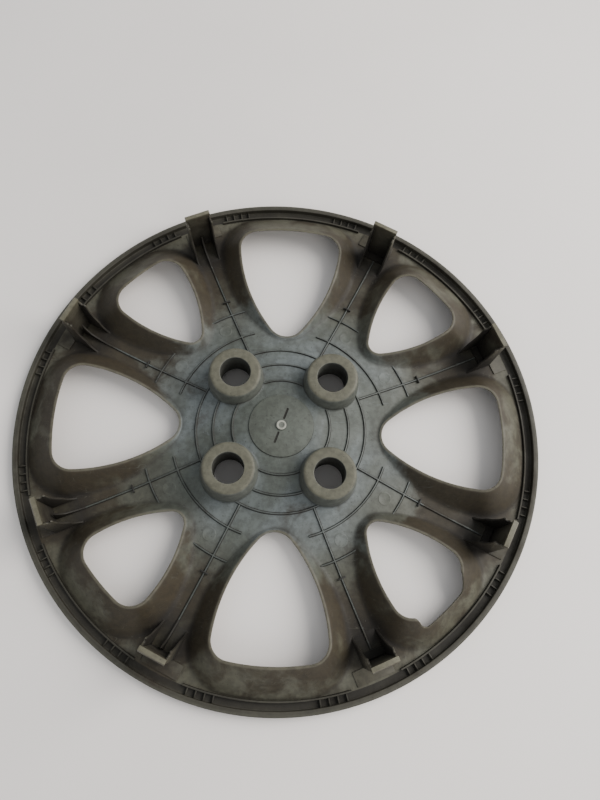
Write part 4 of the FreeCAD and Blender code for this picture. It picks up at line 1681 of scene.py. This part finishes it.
@dataclass(frozen=True)
class Finish:
    """One finish of the cover's plastic."""

    name: str
    base: Colour
    film: Colour
    stain: Colour
    # The dark colour serves grime and painted shade; the lightened colour serves wear and painted highlights.
    dirt_and_shade: Colour
    lightened: Colour
    film_amount: float = 0.6
    stain_amount: float = 0.0
    radial_stain: float = 0.0
    base_roughness: float = 0.42
    gloss: float = 0.32
    relief: float = 0.00014
    rim_base: Colour | None = None
    rim_film: Colour | None = None
    shade_from: float = 0.055
    shade_to: float = 0.150
    bump_strength: float = 0.55

    def build(self, plastic: NodeTree, radial: NodeTree) -> Material:
        """Make the material.

        Args:
            plastic: The shared plastic group.
            radial: The shared group of masks by distance from the axis.

        Returns:
            The material.
        """
        material = bpy.data.materials.new(self.name)
        material.use_nodes = True
        tree = material.node_tree
        shader = tree.nodes["Principled BSDF"]
        place = add_node(tree, "ShaderNodeTexCoord").outputs["Object"]
        group = add_node(tree, "ShaderNodeGroup", node_tree=plastic)
        feed(tree, group.inputs["Place"], place)
        for socket, colour in (("Stain", self.stain), ("Dirt And Shade", self.dirt_and_shade), ("Lightened", self.lightened)):
            feed(tree, group.inputs[socket], colour)
        shade = add_node(tree, "ShaderNodeGroup", node_tree=radial)
        feed(tree, shade.inputs["Place"], place)
        shade.inputs["From"].default_value = self.shade_from
        shade.inputs["To"].default_value = self.shade_to
        for socket, inner, outer in (("Base", self.base, self.rim_base), ("Film", self.film, self.rim_film)):
            colour = inner if outer is None else blend_colour(tree, shade.outputs["Mask"], inner, outer)
            feed(tree, group.inputs[socket], colour)
        baked = add_node(tree, "ShaderNodeAttribute", attribute_name=Layer.STAIN_AND_SHADE.value)
        stain = maths(tree, "ADD", maths(tree, "MULTIPLY", shade.outputs["Mask"], self.radial_stain),
                      self.stain_amount)
        stain = maths(tree, "ADD", stain, baked.outputs["Fac"])
        feed(tree, group.inputs["Stain Amount"], stain)
        group.inputs["Film Amount"].default_value = self.film_amount
        group.inputs["Base Roughness"].default_value = self.base_roughness
        for layer, socket in ((Layer.GRIME_AND_SHADE, "Grime And Shade"), (Layer.WEAR_AND_HIGHLIGHT, "Wear And Highlight")):
            source = add_node(tree, "ShaderNodeAttribute", attribute_name=layer.value)
            feed(tree, group.inputs[socket], source.outputs["Fac"])
        shader.inputs["Specular IOR Level"].default_value = self.gloss
        feed(tree, shader.inputs["Base Color"], group.outputs["Color"])
        feed(tree, shader.inputs["Roughness"], group.outputs["Roughness"])
        bump = add_node(tree, "ShaderNodeBump")
        bump.inputs["Strength"].default_value = self.bump_strength
        bump.inputs["Distance"].default_value = self.relief
        feed(tree, bump.inputs["Height"], group.outputs["Height"])
        feed(tree, shader.inputs["Normal"], bump.outputs["Normal"])
        return material


BROWN: Colour = (0.031, 0.023, 0.0125)
# Colour of soot and of painted shade.
SOOT_AND_SHADE: Colour = (0.011, 0.009, 0.007)
OLIVE: Colour = (0.115, 0.107, 0.074)

SKIN_FINISH = Finish("skin_plastic", base=(0.073, 0.082, 0.071), film=(0.140, 0.159, 0.163),
                     stain=BROWN, dirt_and_shade=SOOT_AND_SHADE, lightened=(0.088, 0.081, 0.057), base_roughness=0.54,
                     film_amount=0.75, rim_base=(0.072, 0.068, 0.047), rim_film=(0.110, 0.108, 0.082))
HUB_FINISH = Finish("hub_plastic", base=(0.068, 0.075, 0.062), film=(0.096, 0.107, 0.092),
                    stain=BROWN, dirt_and_shade=SOOT_AND_SHADE, lightened=(0.27, 0.27, 0.23), base_roughness=0.54)
SLEEVE_FINISH = Finish("sleeve_plastic", base=(0.080, 0.085, 0.072), film=(0.112, 0.118, 0.104),
                       stain=BROWN, dirt_and_shade=SOOT_AND_SHADE, lightened=(0.094, 0.091, 0.065), base_roughness=0.56)
# The ribs' lightened colour is also their painted highlight along the tops.
RIB_FINISH = Finish("rib_plastic", base=(0.066, 0.073, 0.064), film=(0.115, 0.128, 0.126),
                    stain=BROWN, dirt_and_shade=SOOT_AND_SHADE, lightened=(0.135, 0.142, 0.125), radial_stain=0.5)
RIM_FINISH = Finish("rim_plastic", base=(0.038, 0.035, 0.025), film=(0.062, 0.058, 0.043),
                    stain=BROWN, dirt_and_shade=(0.014, 0.012, 0.009), lightened=(0.054, 0.052, 0.039),
                    stain_amount=0.15, base_roughness=0.54)
CLIP_FINISH = Finish("clip_plastic", base=(0.056, 0.051, 0.035), film=(0.080, 0.074, 0.053),
                     stain=BROWN, dirt_and_shade=SOOT_AND_SHADE, lightened=OLIVE, stain_amount=0.4, base_roughness=0.5)


# ------------------------------------------------------------------ studio


@dataclass
class Studio:
    """Floor, light and camera."""

    floor_size: float = 12.0
    floor_level: float = -0.0003
    floor_colour: Colour = (0.80, 0.755, 0.72)
    key_place: tuple[float, float, float] = (1.40, 0.42, 1.15)
    key_size: float = 1.7
    key_power: float = 62.0
    fill_place: tuple[float, float, float] = (0.9, -1.5, 1.3)
    fill_size: float = 1.4
    fill_power: float = 12.0
    camera_place: tuple[float, float, float] = (-0.0054053, -0.1314693, 0.4847284)
    camera_turn: tuple[float, float, float] = (18.045, -3.0138, 2.3252)
    lens: float = 29.86
    sensor: float = 36.0
    lamp_colour: Colour = (1.0, 0.975, 0.945)
    surround_colour: Colour = (0.92, 0.96, 1.0)
    surround_strength: float = 0.70
    floor_shade: float = 0.94

    def floor(self) -> None:
        """A plain pale floor, level with the cover's front face."""
        bm = bmesh.new()
        bmesh.ops.create_grid(bm, x_segments=4, y_segments=4, size=self.floor_size / 2)
        mesh = bpy.data.meshes.new("floor")
        bm.to_mesh(mesh)
        bm.free()
        mesh.transform(Matrix.Translation((0.0, 0.0, self.floor_level)))
        floor = bpy.data.objects.new("floor", mesh)
        bpy.context.scene.collection.objects.link(floor)
        material = bpy.data.materials.new("floor_paint")
        material.use_nodes = True
        tree = material.node_tree
        shader = tree.nodes["Principled BSDF"]
        place = add_node(tree, "ShaderNodeTexCoord").outputs["Object"]
        tone = window_of(tree, noise(tree, place, 3.0, 4.0), 0.3, 0.7)
        darker = tuple(channel * self.floor_shade for channel in self.floor_colour)
        feed(tree, shader.inputs["Base Color"], blend_colour(tree, tone, darker, self.floor_colour))
        shader.inputs["Roughness"].default_value = 0.6
        mesh.materials.append(material)

    def lamp(self, name: str, place: tuple[float, float, float], size: float, power: float) -> None:
        """A round area light that faces the cover.

        Args:
            name: Its name.
            place: Where it hangs.
            size: Its diameter.
            power: Its power.
        """
        light = bpy.data.lights.new(name, "AREA")
        light.shape = "DISK"
        light.size = size
        light.energy = power
        light.color = self.lamp_colour
        lamp = bpy.data.objects.new(name, light)
        lamp.location = place
        lamp.rotation_euler = (-Vector(place)).to_track_quat("-Z", "Y").to_euler()
        bpy.context.scene.collection.objects.link(lamp)

    def light(self) -> None:
        """A large soft light from the right, a weaker one from the near side, and an even surround."""
        self.lamp("key", self.key_place, self.key_size, self.key_power)
        self.lamp("fill", self.fill_place, self.fill_size, self.fill_power)
        world = bpy.data.worlds.new("surround")
        world.use_nodes = True
        background = world.node_tree.nodes["Background"]
        background.inputs["Color"].default_value = (*self.surround_colour, 1.0)
        background.inputs["Strength"].default_value = self.surround_strength
        bpy.context.scene.world = world

    def camera(self) -> None:
        """The camera, looking down from the near side."""
        data = bpy.data.cameras.new("camera")
        data.lens = self.lens
        data.sensor_width = self.sensor
        data.clip_start = 0.01
        data.clip_end = 50.0
        camera = bpy.data.objects.new("camera", data)
        camera.location = self.camera_place
        camera.rotation_euler = Euler([math.radians(angle) for angle in self.camera_turn], "XYZ")
        bpy.context.scene.collection.objects.link(camera)
        bpy.context.scene.camera = camera


def main() -> None:
    """Build the finishes, then each sub-assembly, then the studio, and report each piece."""
    logging.basicConfig(level=logging.INFO, format="%(name)s: %(message)s")
    plastic, radial = AgedPlasticGroup().build(), RadialShadeGroup().build()
    skin, hub, sleeve, rib, rim, clip = (finish.build(plastic, radial) for finish in (
        SKIN_FINISH, HUB_FINISH, SLEEVE_FINISH, RIB_FINISH, RIM_FINISH, CLIP_FINISH))
    pieces = [Skin().build(skin)]
    wheel_rim = Rim()
    pieces += [wheel_rim.bead(rim), wheel_rim.seat(rim), wheel_rim.ladder(rim)]
    centre = Hub()
    pieces += [centre.sleeve(k, sleeve) for k in range(QUARTERS)]
    pieces += [centre.disc(hub), centre.pip(hub), centre.ejector_marks(skin)]
    ribs = Ribs()
    pieces += [ribs.ring(label, radius, rib) for label, radius in ribs.rings]
    pieces += [ribs.arcs(rib), ribs.crosses(rib)]
    for k in range(SPOKES):
        one = Clip(k)
        pieces += [ribs.spoke(k, rib), one.cage(clip), one.tongue(clip)]
    for piece in pieces:
        LOG.info("%s: %d faces", piece.name, len(piece.data.polygons))
    studio = Studio()
    studio.floor()
    studio.light()
    studio.camera()


if __name__ == "__main__":
    main()
